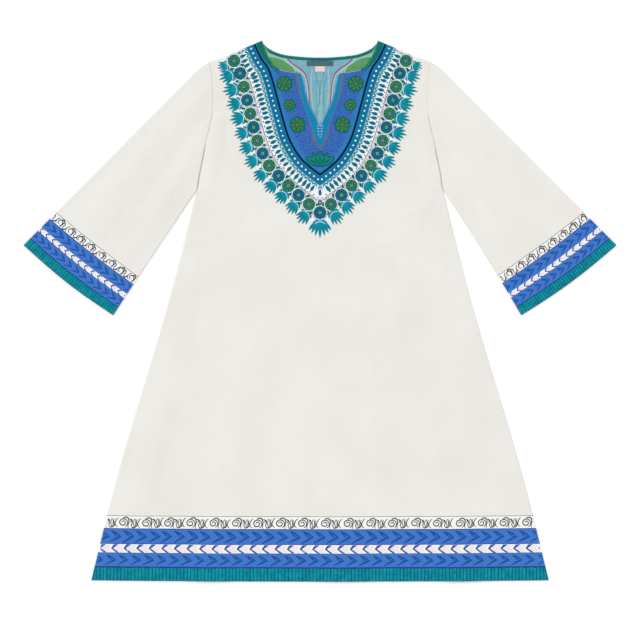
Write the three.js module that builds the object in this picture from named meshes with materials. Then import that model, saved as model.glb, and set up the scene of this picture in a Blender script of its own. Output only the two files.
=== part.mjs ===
// A dashiki dress laid flat on its back: A-line body, wide set-in sleeves and a scooped neck with a slit.
// Millimetres. x runs across the dress, y up from the middle of its length, z up from the surface it lies on.
import * as THREE from 'three';
import { mergeVertices } from 'three/addons/utils/BufferGeometryUtils.js';

// A drop is a distance down the dress from the high point of the shoulder, and a half is one side of a width.
const dress = {
  length: 1001, // high point of the shoulder to the middle of the hem
  hemLift: 2.5, // how much higher the hem ends at the side seams
  hemHalf: 423,
  underarmHalf: 227.6,
  underarmDrop: 275.7,
  sideSway: 4, // the side seam bows in by this above the hip and out by it below the knee
};
const cloth = { wall: 1.4, layOn: 0.3, seamGap: 0.3, armholeGap: 0.6 };
const frontLevel = cloth.wall + cloth.layOn; // underside of the front where it lies on the back
const layersHigh = frontLevel + cloth.wall;

const armholeRows = [
  { half: 227.6, drop: 275.7 }, // underarm
  { half: 222.0, drop: 243.3 },
  { half: 216.5, drop: 217.4 },
  { half: 210.0, drop: 187.8 },
  { half: 203.5, drop: 161.9 },
  { half: 198.5, drop: 137.8 },
  { half: 197.0, drop: 100.8 },
  { half: 199.0, drop: 63.8 },
  { half: 203.5, drop: 39.8 }, // shoulder end
];
const frontNeckRows = [
  { half: 0.0, drop: 160.0 }, // foot of the slit
  { half: 7.8, drop: 141.5 },
  { half: 20.4, drop: 117.5 },
  { half: 28.3, drop: 91.6 },
  { half: 31.0, drop: 74.0 },
  { half: 33.5, drop: 63.5 }, // corner of the slit
  { half: 41.0, drop: 59.4 },
  { half: 53.7, drop: 58.3 },
  { half: 70.3, drop: 55.1 },
  { half: 84.2, drop: 49.0 },
  { half: 91.6, drop: 38.0 },
  { half: 99.9, drop: 23.1 },
  { half: 107.3, drop: 0.0 }, // high point of the shoulder
];
const backNeckRows = [
  { half: 0.0, drop: 31.6 },
  { half: 18.5, drop: 31.3 },
  { half: 51.8, drop: 28.6 },
  { half: 74.0, drop: 24.5 },
  { half: 94.9, drop: 15.2 },
  { half: 104.3, drop: 5.6 },
  { half: 107.3, drop: 0.0 }, // high point of the shoulder
];

const sleeve = {
  roundTo: { half: 240.0, drop: 69.4 }, // where the shoulder's curve meets the straight upper fold
  roundBy: { half: 224.0, drop: 49.5 }, // the corner that the curve cuts off
  cuffTop: { half: 548.5, drop: 378.3 },
  cuffBow: 5.2, // the cuff's edge bows out by this
  roundShare: 0.12, // how much of the upper fold the shoulder's curve takes up
};

// Soft ridges of the front layer: each runs between two points, this high and reaching this far to each side.
const bodyFolds = [
  { fromX: -118, fromDrop: 560, toX: -205, toDrop: 1010, height: 2.6, reach: 58 },
  { fromX: 30, fromDrop: 640, toX: 42, toDrop: 1010, height: 2.0, reach: 66 },
  { fromX: 150, fromDrop: 500, toX: 262, toDrop: 1010, height: 3.0, reach: 62 },
  { fromX: -232, fromDrop: 420, toX: -345, toDrop: 860, height: 1.8, reach: 44 },
  { fromX: -190, fromDrop: 150, toX: -208, toDrop: 285, height: 2.6, reach: 24 }, // over the left underarm
  { fromX: 190, fromDrop: 150, toX: 208, toDrop: 285, height: 2.6, reach: 24 }, // over the right underarm
  { fromX: -160, fromDrop: 330, toX: 120, toDrop: 430, height: 1.4, reach: 70 },
];
const leftSleeve = {
  side: -1,
  cuffFoot: { half: 383, drop: 508 },
  underBow: 0.5, // the underarm seam bows up into the sleeve by this
  folds: [
    { fromX: -232, fromDrop: 110, toX: -420, toDrop: 330, height: 2.6, reach: 46 },
    { fromX: -250, fromDrop: 235, toX: -352, toDrop: 400, height: 1.8, reach: 34 },
  ],
};
const rightSleeve = {
  side: 1,
  cuffFoot: { half: 372.5, drop: 508 },
  underBow: 2,
  folds: [
    { fromX: 228, fromDrop: 120, toX: 400, toDrop: 350, height: 2.4, reach: 44 },
    { fromX: 262, fromDrop: 225, toX: 366, toDrop: 420, height: 2.0, reach: 30 },
    { fromX: 300, fromDrop: 150, toX: 440, toDrop: 290, height: 1.5, reach: 30 },
  ],
};
const seamHold = 34; // a ridge dies away over this distance from a side seam or a folded edge

const backTrim = {
  wall: 0.9,
  width: 5.5,
  thinnest: 0.8,
  showing: 0.62, // the share of the gap to the front neck edge that it fills where that gap is narrow
  clearOfFront: 0.6,
  to: 0.79, // it runs from the middle of the back neck this far towards the shoulder
};
const frontTrim = {
  wall: 0.9,
  narrow: 3, // its width where it starts, and at the shoulder
  wide: 12,
  from: 0.695, // the stretch of the front neck that it covers, from the slit's foot towards the shoulder
  to: 0.985,
};
const facingWall = 0.9;
const facingRows = [ // the strip that finishes the slit, from its upper end to its point
  { inner: 33.9, outer: 41.0, drop: 63.4 },
  { inner: 31.2, outer: 39.4, drop: 74.0 },
  { inner: 28.5, outer: 37.4, drop: 91.6 },
  { inner: 20.6, outer: 31.6, drop: 117.5 },
  { inner: 8.0, outer: 22.8, drop: 141.5 },
  { inner: 0.0, outer: 15.6, drop: 160.6 },
  { inner: 0.0, outer: 9.6, drop: 182.0 },
  { inner: 0.0, outer: 1.6, drop: 199.0 },
];
const mainLabel = { width: 50, height: 9.5, wall: 0.8, gapUnderBinding: 0.4 };
const sizeLabel = { width: 20, height: 12, wall: 0.6 };

// Rows and columns of faces, and the share of the armhole that the row from the foot of the neck meets.
const grids = {
  front: { skirt: 13, chest: 5, yoke: 24, across: 11, armholeShare: 0.42 },
  back: { skirt: 8, chest: 5, yoke: 12, across: 5, armholeShare: 0.62 },
  sleeve: { along: 12, across: 9 },
  trim: { along: 17 },
};
const foldSection = [ // the rounded edge of a flattened sleeve, as shares of half its height
  { from: 0, rise: 0 },
  { from: 0.29, rise: 0.71 },
  { from: 1, rise: 1 },
];

const colours = {
  cotton: { color: 0xeae9e5, roughness: 0.9 },
  binding: { color: 0x1b8c7c, roughness: 0.85 },
  facing: { color: 0x1c8fc4, roughness: 0.85 },
  labelGreen: { color: 0x3f7a63, roughness: 0.6 },
  labelWhite: { color: 0xe6dcdc, roughness: 0.6 },
};
const finishes = {};
for (const [name, look] of Object.entries(colours)) {
  finishes[name] = new THREE.MeshStandardMaterial({ ...look, metalness: 0 });
}

const place = (half, drop) => new THREE.Vector2(half, dress.length / 2 - drop);
const splineOf = (rows) => new THREE.SplineCurve(rows.map((row) => place(row.half, row.drop)));
const smooth = (t) => THREE.MathUtils.smoothstep(t, 0, 1);

const armhole = splineOf(armholeRows);
const frontNeck = splineOf(frontNeckRows);
const backNeck = splineOf(backNeckRows);

// Half the width of the skirt at a share t of the way from the underarm to the hem.
function skirtHalf(t) {
  const flare = THREE.MathUtils.lerp(dress.underarmHalf, dress.hemHalf, t);
  return flare - dress.sideSway * Math.sin(2 * Math.PI * t);
}

// How high the folds in a table lift the cloth at a point.
function foldHeight(folds, x, y) {
  let height = 0;
  for (const fold of folds) {
    const from = place(fold.fromX, fold.fromDrop);
    const along = place(fold.toX, fold.toDrop).sub(from);
    const share = new THREE.Vector2(x, y).sub(from).dot(along) / along.lengthSq();
    const nearest = from.clone().addScaledVector(along, THREE.MathUtils.clamp(share, 0, 1));
    const away = Math.hypot(x - nearest.x, y - nearest.y) / fold.reach;
    if (away < 1) height += fold.height * Math.cos((away * Math.PI) / 2) ** 2;
  }
  return height;
}

// The folds of the body's front, held down where the side seams join it to the back.
function bodyLift(x, y) {
  const belowUnderarm = dress.length / 2 - dress.underarmDrop - y;
  const skirtLength = dress.length - dress.underarmDrop;
  if (belowUnderarm <= 0) return foldHeight(bodyFolds, x, y);
  const fromSeam = skirtHalf(Math.min(belowUnderarm / skirtLength, 1)) - Math.abs(x);
  return foldHeight(bodyFolds, x, y) * smooth(fromSeam / seamHold);
}

// Makes a mesh from a list of triangles, each three [x, y, z] corners in turn.
function meshOf(name, triangles, finish) {
  const geometry = new THREE.BufferGeometry();
  geometry.setAttribute('position', new THREE.Float32BufferAttribute(triangles.flat(2), 3));
  const merged = mergeVertices(geometry, 1e-3);
  merged.computeVertexNormals();
  const mesh = new THREE.Mesh(merged, finish);
  mesh.name = name;
  return mesh;
}

function addQuad(triangles, a, b, c, d) {
  const same = (p, q) => Math.hypot(p[0] - q[0], p[1] - q[1], p[2] - q[2]) < 1e-3;
  if (!same(a, b) && !same(b, c) && !same(a, c)) triangles.push([a, b, c]);
  if (!same(a, c) && !same(c, d) && !same(a, d)) triangles.push([a, c, d]);
}

// Closes a grid of points into a flat wall. Each row runs from its inner to its outer end, rows run upwards,
// and the wall lies from under(x, y) to under(x, y) + thick. The outer end is to the right of the inner one.
function wallTriangles(rows, under, thick) {
  const triangles = [];
  const low = (p) => [p.x, p.y, under(p.x, p.y)];
  const high = (p) => [p.x, p.y, under(p.x, p.y) + thick];
  const last = rows[0].length - 1;
  for (let r = 0; r + 1 < rows.length; r++) {
    for (let c = 0; c < last; c++) {
      const [a, b, d, e] = [rows[r][c], rows[r][c + 1], rows[r + 1][c + 1], rows[r + 1][c]];
      addQuad(triangles, high(a), high(b), high(d), high(e));
      addQuad(triangles, low(e), low(d), low(b), low(a));
    }
    for (const [a, b] of [[rows[r + 1][0], rows[r][0]], [rows[r][last], rows[r + 1][last]]]) {
      const onCentre = Math.abs(a.x) < 1e-6 && Math.abs(b.x) < 1e-6; // the other half continues there
      if (!onCentre) addQuad(triangles, low(a), low(b), high(b), high(a));
    }
  }
  for (const [row, turn] of [[rows[0], 1], [rows[rows.length - 1], -1]]) {
    for (let c = 0; c < last; c++) {
      const [a, b] = turn > 0 ? [row[c], row[c + 1]] : [row[c + 1], row[c]];
      addQuad(triangles, low(a), low(b), high(b), high(a));
    }
  }
  return triangles;
}

// A wall with the same outline to both sides of the centre line. The height function sees the true x.
function mirroredWall(rows, under, thick) {
  const right = wallTriangles(rows, under, thick);
  const left = wallTriangles(rows, (x, y) => under(-x, y), thick);
  const turned = left.map((triangle) => triangle.map(([x, y, z]) => [-x, y, z]).reverse());
  return [...right, ...turned];
}

// Rows of the body's right half, from the hem up, each running out from the centre line or the neck.
function bodyRows(neck, grid) {
  const rows = [];
  const addRow = (inner, outer, bow = 0) => {
    const row = [];
    for (let c = 0; c <= grid.across; c++) {
      const t = c / grid.across;
      const point = inner.clone().lerp(outer, t);
      point.y -= bow * t * (1 - t);
      row.push(point);
    }
    rows.push(row);
  };
  const chestMiddle = place(0, dress.underarmDrop);
  const hemMiddle = place(0, dress.length);
  for (let r = 0; r < grid.skirt; r++) {
    const t = 1 - r / grid.skirt;
    const drop = THREE.MathUtils.lerp(dress.underarmDrop, dress.length - dress.hemLift, t);
    addRow(chestMiddle.clone().lerp(hemMiddle, t), place(skirtHalf(t), drop), dress.hemLift * t);
  }
  for (let r = 0; r < grid.chest; r++) {
    const t = r / grid.chest;
    addRow(chestMiddle.clone().lerp(neck.getPoint(0), t), armhole.getPoint(t * grid.armholeShare));
  }
  for (let r = 0; r <= grid.yoke; r++) {
    const t = r / grid.yoke;
    addRow(neck.getPoint(t), armhole.getPoint(THREE.MathUtils.lerp(grid.armholeShare, 1, t)));
  }
  return rows;
}

function bodyPanels() {
  const frontUnder = (x, y) => frontLevel + bodyLift(x, y);
  const back = mirroredWall(bodyRows(backNeck, grids.back), () => 0, cloth.wall);
  const front = mirroredWall(bodyRows(frontNeck, grids.front), frontUnder, cloth.wall);
  return [meshOf('back_panel', back, finishes.cotton), meshOf('front_panel', front, finishes.cotton)];
}

// The upper fold of a sleeve on the right side, from the shoulder to the cuff.
function upperFold(t) {
  const { roundTo, roundBy, cuffTop, roundShare } = sleeve;
  if (t >= roundShare) {
    const along = (t - roundShare) / (1 - roundShare);
    return place(roundTo.half, roundTo.drop).lerp(place(cuffTop.half, cuffTop.drop), along);
  }
  const shoulder = new THREE.QuadraticBezierCurve(
    armhole.getPoint(1),
    place(roundBy.half, roundBy.drop),
    place(roundTo.half, roundTo.drop),
  );
  return shoulder.getPoint(t / roundShare);
}

// The underarm seam of a sleeve on the right side, from the armhole to the cuff.
function underarmSeam(shape, t) {
  const from = armhole.getPoint(0);
  const to = place(shape.cuffFoot.half, shape.cuffFoot.drop);
  const square = to.clone().sub(from).normalize().rotateAround(new THREE.Vector2(), Math.PI / 2);
  return from.lerp(to, t).addScaledVector(square, shape.underBow * Math.sin(Math.PI * t));
}

// A point of the flat sleeve: a share along from armhole to cuff, and a share across from upper fold to seam.
function sleevePoint(shape, along, across) {
  const edge = upperFold(along).lerp(underarmSeam(shape, along), across);
  const armholeEnd = armhole.getPoint(1 - across);
  const armholeChord = upperFold(0).lerp(underarmSeam(shape, 0), across);
  const cuffChord = upperFold(1).sub(underarmSeam(shape, 1));
  const outwards = cuffChord.clone().normalize().rotateAround(new THREE.Vector2(), -Math.PI / 2);
  const bow = sleeve.cuffBow * Math.sin(Math.PI * across);
  edge.addScaledVector(armholeEnd.sub(armholeChord), 1 - along);
  edge.addScaledVector(outwards, bow * along);
  edge.x += cloth.armholeGap * (1 - along);
  return edge;
}

// One ring round the flattened sleeve, outside or inside its wall.
function sleeveRing(shape, along, inside) {
  const { side, folds } = shape;
  const width = sleevePoint(shape, along, 0).distanceTo(sleevePoint(shape, along, 1));
  const half = inside ? cloth.layOn / 2 : layersHigh / 2;
  const inset = inside ? cloth.wall : 0;
  const columns = grids.sleeve.across;
  const edge = foldSection.map(({ from, rise }) => ({ share: (inset + from * half) / width, rise }));
  const farEdge = edge.map(({ share, rise }) => ({ share: 1 - share, rise })).reverse();
  const middle = Array.from({ length: columns - 1 }, (_, k) => ({ share: (k + 1) / columns, rise: 1 }));
  const crossing = [...edge, ...middle, ...farEdge];
  const pointAt = ({ share, rise }, layer) => {
    const point = sleevePoint(shape, along, share);
    const fromEdge = Math.min(share, 1 - share) * width;
    const lift = layer > 0 ? foldHeight(folds, side * point.x, point.y) * smooth(fromEdge / seamHold) : 0;
    return [side * point.x, point.y, layersHigh / 2 + layer * half * rise + lift];
  };
  const upper = crossing.map((step) => pointAt(step, 1));
  const lower = crossing.slice(1, -1).reverse().map((step) => pointAt(step, -1));
  return [...upper, ...lower];
}

// Joins rings of equal length into the surface of a tube.
function addTube(triangles, rings, inwards) {
  for (let s = 0; s + 1 < rings.length; s++) {
    const count = rings[s].length;
    for (let k = 0; k < count; k++) {
      const next = (k + 1) % count;
      const corners = [rings[s][k], rings[s][next], rings[s + 1][next], rings[s + 1][k]];
      addQuad(triangles, ...(inwards ? corners : corners.reverse()));
    }
  }
}

function sleeveMesh(name, shape) {
  const steps = grids.sleeve.along;
  const outer = [];
  const inner = [];
  for (let s = 0; s <= steps; s++) {
    outer.push(sleeveRing(shape, s / steps, false));
    inner.push(sleeveRing(shape, s / steps, true));
  }
  const triangles = [];
  const turned = shape.side > 0;
  addTube(triangles, outer, turned);
  addTube(triangles, inner, !turned);
  addTube(triangles, [inner[0], outer[0]], turned);
  addTube(triangles, [outer[steps], inner[steps]], turned);
  return meshOf(name, triangles, finishes.cotton);
}

// The way from a neck edge into the cloth, square to the edge.
function squareTo(curve, u) {
  const tangent = curve.getTangent(THREE.MathUtils.clamp(u, 0.001, 0.999));
  return new THREE.Vector2(tangent.y, -tangent.x);
}

// Rows of a strip that runs along a neck edge and reaches into the cloth.
function stripRows(curve, { from, to }, widthAt) {
  const rows = [];
  for (let s = 0; s <= grids.trim.along; s++) {
    const u = THREE.MathUtils.lerp(from, to, s / grids.trim.along);
    const edge = curve.getPoint(u);
    const direction = u > 0 ? squareTo(curve, u) : new THREE.Vector2(0, -1);
    rows.push([0, 0.5, 1].map((share) => edge.clone().addScaledVector(direction, share * widthAt(u))));
  }
  return rows;
}

function neckBindings() {
  const frontEdge = frontNeck.getPoints(240);
  const backWidth = (u) => {
    const point = backNeck.getPoint(u);
    const gap = Math.min(...frontEdge.map((edge) => edge.distanceTo(point)));
    const fitting = gap * backTrim.showing - backTrim.clearOfFront;
    return THREE.MathUtils.clamp(fitting, backTrim.thinnest, backTrim.width);
  };
  const { from, to, narrow, wide } = frontTrim;
  const frontWidth = (u) => THREE.MathUtils.mapLinear(u, from, to, narrow, wide);
  const backRows = stripRows(backNeck, { from: 0, to: backTrim.to }, backWidth);
  const back = mirroredWall(backRows, () => cloth.wall + cloth.layOn, backTrim.wall);
  const frontRows = stripRows(frontNeck, frontTrim, frontWidth);
  const right = wallTriangles(frontRows, () => layersHigh + cloth.layOn, frontTrim.wall);
  const left = right.map((triangle) => triangle.map(([x, y, z]) => [-x, y, z]).reverse());
  return [
    meshOf('neck_binding_back', back, finishes.binding),
    meshOf('neck_binding_right', right, finishes.binding),
    meshOf('neck_binding_left', left, finishes.binding),
  ];
}

function slitFacing() {
  const rows = facingRows
    .map((row) => [row.inner, (row.inner + row.outer) / 2, row.outer].map((half) => place(half, row.drop)))
    .reverse();
  const level = (x, y) => layersHigh + cloth.layOn + bodyLift(x, y);
  return meshOf('slit_facing', mirroredWall(rows, level, facingWall), finishes.facing);
}

function labelMesh(name, label, topDrop, finish) {
  const mesh = new THREE.Mesh(new THREE.BoxGeometry(label.width, label.height, label.wall), finish);
  mesh.name = name;
  const centre = place(0, topDrop + label.height / 2);
  mesh.position.set(centre.x, centre.y, cloth.wall + cloth.layOn + label.wall / 2);
  return mesh;
}

function labels() {
  const bindingFoot = backNeckRows[0].drop + backTrim.width;
  const mainTop = bindingFoot + mainLabel.gapUnderBinding;
  const sizeTop = mainTop + mainLabel.height + cloth.seamGap;
  return [
    labelMesh('main_label', mainLabel, mainTop, finishes.labelGreen),
    labelMesh('size_label', sizeLabel, sizeTop, finishes.labelWhite),
  ];
}

const garment = new THREE.Group();
garment.add(
  ...bodyPanels(),
  sleeveMesh('sleeve_right', rightSleeve),
  sleeveMesh('sleeve_left', leftSleeve),
  ...neckBindings(),
  slitFacing(),
  ...labels(),
);
export default garment;
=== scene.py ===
import math
from functools import partial

import bmesh
import bpy
import numpy as np
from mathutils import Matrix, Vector


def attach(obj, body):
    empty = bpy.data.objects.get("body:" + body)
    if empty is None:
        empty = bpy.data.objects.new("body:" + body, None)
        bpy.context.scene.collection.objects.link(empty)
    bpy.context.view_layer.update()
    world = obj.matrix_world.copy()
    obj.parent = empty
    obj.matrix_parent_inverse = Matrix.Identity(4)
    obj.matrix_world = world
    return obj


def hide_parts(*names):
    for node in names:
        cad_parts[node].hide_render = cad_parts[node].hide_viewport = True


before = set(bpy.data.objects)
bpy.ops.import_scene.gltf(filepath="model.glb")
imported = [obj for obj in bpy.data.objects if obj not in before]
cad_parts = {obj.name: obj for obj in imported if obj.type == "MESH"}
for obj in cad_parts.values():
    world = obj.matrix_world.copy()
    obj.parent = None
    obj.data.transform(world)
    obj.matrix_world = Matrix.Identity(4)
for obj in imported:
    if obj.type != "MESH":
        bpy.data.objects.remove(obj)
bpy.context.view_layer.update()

mm = 0.001

# A drop is measured down from the high point of the shoulder and a half out from the centre line, in mm.
dress = {
    "length": 1001.0,
    "hemLift": 2.5,
    "hemHalf": 423.0,
    "underarmHalf": 227.6,
    "underarmDrop": 275.7,
    "sideSway": 4.0,
}
armholeRows = [
    (227.6, 275.7), (222.0, 243.3), (216.5, 217.4), (210.0, 187.8), (203.5, 161.9),
    (198.5, 137.8), (197.0, 100.8), (199.0, 63.8), (203.5, 39.8),
]
frontNeckRows = [
    (0.0, 160.0), (7.8, 141.5), (20.4, 117.5), (28.3, 91.6), (31.0, 74.0), (33.5, 63.5), (41.0, 59.4),
    (53.7, 58.3), (70.3, 55.1), (84.2, 49.0), (91.6, 38.0), (99.9, 23.1), (107.3, 0.0),
]
backNeckRows = [
    (0.0, 31.6), (18.5, 31.3), (51.8, 28.6), (74.0, 24.5), (94.9, 15.2), (104.3, 5.6), (107.3, 0.0),
]


def place(rows):
    rows = np.asarray(rows, float)
    return np.stack([rows[..., 0], dress["length"] / 2 - rows[..., 1]], -1)


def spline(points, share):
    # a smooth line through the points, at shares of the way counted in points
    points = np.asarray(points, float)
    u = np.clip(np.asarray(share, float), 0, 1) * (len(points) - 1)
    first = np.minimum(u.astype(int), len(points) - 2)
    t = (u - first)[..., None]
    a, b, c, d = (points[np.clip(first + k, 0, len(points) - 1)] for k in (-1, 0, 1, 2))
    leave, arrive = (c - a) / 2, (d - b) / 2
    cubed = 2 * b - 2 * c + leave + arrive
    squared = 3 * c - 3 * b - 2 * leave - arrive
    return cubed * t**3 + squared * t**2 + leave * t + b


def spaced(points, count):
    # the same line with its points evenly apart
    points = np.asarray(points, float)
    run = np.concatenate([[0], np.cumsum(np.linalg.norm(np.diff(points, axis=0), axis=1))])
    at = np.linspace(0, run[-1], count)
    return np.stack([np.interp(at, run, points[:, k]) for k in range(points.shape[1])], -1)


def lineLength(points):
    return float(np.linalg.norm(np.diff(points, axis=0), axis=1).sum())


armhole = place(armholeRows)
frontNeck = place(frontNeckRows)
backNeck = place(backNeckRows)


def linear(code):
    parts = [int(code[k:k + 2], 16) / 255 for k in (1, 3, 5)]
    return [c / 12.92 if c <= 0.04045 else ((c + 0.055) / 1.055) ** 2.4 for c in parts] + [1.0]


def newMaterial(name):
    material = bpy.data.materials.new(name)
    material.use_nodes = True
    tree = material.node_tree
    tree.nodes.clear()
    out = tree.nodes.new("ShaderNodeOutputMaterial")
    shader = tree.nodes.new("ShaderNodeBsdfPrincipled")
    tree.links.new(shader.outputs["BSDF"], out.inputs["Surface"])
    return material, tree, shader


def node(tree, kind, inputs=None, **settings):
    made = tree.nodes.new(kind)
    for key, value in settings.items():
        setattr(made, key, value)
    for key, value in (inputs or {}).items():
        if isinstance(value, bpy.types.NodeSocket):
            tree.links.new(value, made.inputs[key])
        else:
            made.inputs[key].default_value = value
    return made


def mixColours(tree, share, first, second, blend="MIX"):
    mix = node(tree, "ShaderNodeMix", data_type="RGBA", blend_type=blend)
    for index, value in ((0, share), (6, first), (7, second)):
        if isinstance(value, bpy.types.NodeSocket):
            tree.links.new(value, mix.inputs[index])
        else:
            mix.inputs[index].default_value = value
    return mix.outputs[2]


def math2(tree, operation, first, second=0.0):
    return node(tree, "ShaderNodeMath", {0: first, 1: second}, operation=operation).outputs[0]


def noise(tree, place3, scale, detail, **more):
    values = {"Vector": place3, "Scale": scale, "Detail": detail, **more}
    return node(tree, "ShaderNodeTexNoise", values).outputs["Fac"]


def mapRange(tree, value, fromLow, fromHigh, low, high):
    inputs = {"Value": value, 1: fromLow, 2: fromHigh, 3: low, 4: high}
    return node(tree, "ShaderNodeMapRange", inputs).outputs[0]


wavePeriod = 0.314159  # metres between the bands of a wave texture whose scale is 1


def waves(tree, place3, pitch, direction, **more):
    # straight bands at a pitch in mm
    values = {"Vector": place3, "Scale": wavePeriod / (pitch * mm), **more}
    made = node(tree, "ShaderNodeTexWave", values, wave_type="BANDS", bands_direction=direction)
    return made.outputs["Fac"]


def dyeWithThreadShade(tree, shader, threads, colour, amount, shade):
    # the colour of the cloth, with painted shade where its threads dip
    threadShade = math2(tree, "MULTIPLY", math2(tree, "SUBTRACT", 1.0, threads), amount)
    tree.links.new(mixColours(tree, threadShade, colour, linear(shade), "MULTIPLY"), shader.inputs["Base Color"])


def setShader(shader, roughness, specular, **more):
    values = {"Roughness": roughness, "Specular IOR Level": specular, **more}
    for name, value in values.items():
        shader.inputs[name].default_value = value


weave = {
    "pitch": 0.62, "depth": 0.10,
    "slubDepth": 0.16, "slubScale": 60.0, "slubStretch": 14.0,
    "puckerDepth": 0.5, "puckerSize": 16.0,
}


def weaveBump(tree, shader, coordinates, strength=1.0):
    # plain weave: warp and weft bars that cross, thick and thin threads, and soft puckers
    uneven = {"Distortion": 0.6, "Detail": 1.0, "Detail Scale": 0.4}
    bars = [waves(tree, coordinates, weave["pitch"], direction, **uneven) for direction in ("X", "Y")]
    threads = math2(tree, "MAXIMUM", bars[0], bars[1])
    stretch = (1.0, weave["slubStretch"], 1.0)
    stretched = node(tree, "ShaderNodeMapping", {"Vector": coordinates, "Scale": stretch}).outputs[0]
    slub = noise(tree, stretched, weave["slubScale"], 3.0, Roughness=0.6)
    pucker = noise(tree, coordinates, 1 / (weave["puckerSize"] * mm), 2.0, Roughness=0.45)
    height = math2(tree, "MULTIPLY", threads, weave["depth"] * mm)
    for texture, depth in ((slub, weave["slubDepth"]), (pucker, weave["puckerDepth"])):
        height = math2(tree, "ADD", height, math2(tree, "MULTIPLY", texture, depth * mm))
    bump = node(tree, "ShaderNodeBump", {"Height": height, "Strength": strength, "Distance": 1.0})
    tree.links.new(bump.outputs["Normal"], shader.inputs["Normal"])
    return threads, slub


cotton = {"colour": "#ECEAE5", "shade": "#E2DFD6", "roughness": 0.92, "sheen": 0.06, "wander": 0.7}

# The printed borders, as distances in mm from the hem or the cuff. Each stretch ends where the next begins.
hemBorder = [
    (0.0, "teal"), (24.4, "navy"), (26.2, "blue"), (50.6, "navy"), (51.6, "white"), (67.6, "navy"),
    (68.6, "blue"), (95.0, "navy"), (96.6, "white"), (119.0, "ink"), (120.4, "cotton"),
]
cuffBorder = [
    (0.0, "teal"), (17.0, "navy"), (18.2, "blue"), (36.6, "navy"), (37.4, "white"), (46.6, "navy"),
    (47.4, "blue"), (67.2, "navy"), (68.4, "white"), (84.0, "ink"), (85.2, "cotton"),
]
borderColours = {
    "teal": "#064C6A", "navy": "#1B2F7C", "blue": "#3A6EC2", "white": "#F4F3F1", "ink": "#5B5C60",
    "cotton": "#ECEAE5",
}


def borderColour(tree, fromEdge, border, slub):
    # the colour of the border at a distance from the edge, a little mottled by the slubs
    farthest = border[-1][0] * 1.02
    share = math2(tree, "DIVIDE", fromEdge, farthest * mm)
    ramp = node(tree, "ShaderNodeValToRGB", {"Fac": share})
    ramp.color_ramp.interpolation = "CONSTANT"
    stops = ramp.color_ramp.elements
    for k, (start, colour) in enumerate(border):
        stop = stops[k] if k < 2 else stops.new(start / farthest)
        stop.position = start / farthest
        stop.color = linear(borderColours[colour])
    mottle = math2(tree, "MULTIPLY", slub, 0.30)
    return mixColours(tree, mottle, ramp.outputs["Color"], linear("#FFFFFF"), "SOFT_LIGHT")


def clothMaterial(name, border):
    material, tree, shader = newMaterial(name)
    place3 = node(tree, "ShaderNodeTexCoord").outputs["Object"]
    threads, slub = weaveBump(tree, shader, place3)
    patchy = mapRange(tree, noise(tree, place3, 9.0, 3.0), 0.35, 0.75, 0.0, 0.55)
    ground = mixColours(tree, patchy, linear(cotton["colour"]), linear(cotton["shade"]))
    uv = node(tree, "ShaderNodeUVMap", uv_map="border").outputs[0]
    fromEdge = node(tree, "ShaderNodeSeparateXYZ", {0: uv}).outputs[1]
    wobble = math2(tree, "SUBTRACT", noise(tree, place3, 220.0, 2.0), 0.5)
    fromEdge = math2(tree, "ADD", fromEdge, math2(tree, "MULTIPLY", wobble, cotton["wander"] * mm))
    printed = borderColour(tree, fromEdge, border, slub)
    inside = math2(tree, "LESS_THAN", fromEdge, border[-1][0] * mm)
    ground = mixColours(tree, inside, ground, printed)
    # painted shade in the gaps between the cotton's threads, darkening toward #8C8A84
    dyeWithThreadShade(tree, shader, threads, ground, 0.10, "#8C8A84")
    setShader(shader, cotton["roughness"], 0.2, **{"Sheen Weight": cotton["sheen"]})
    return material


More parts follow.
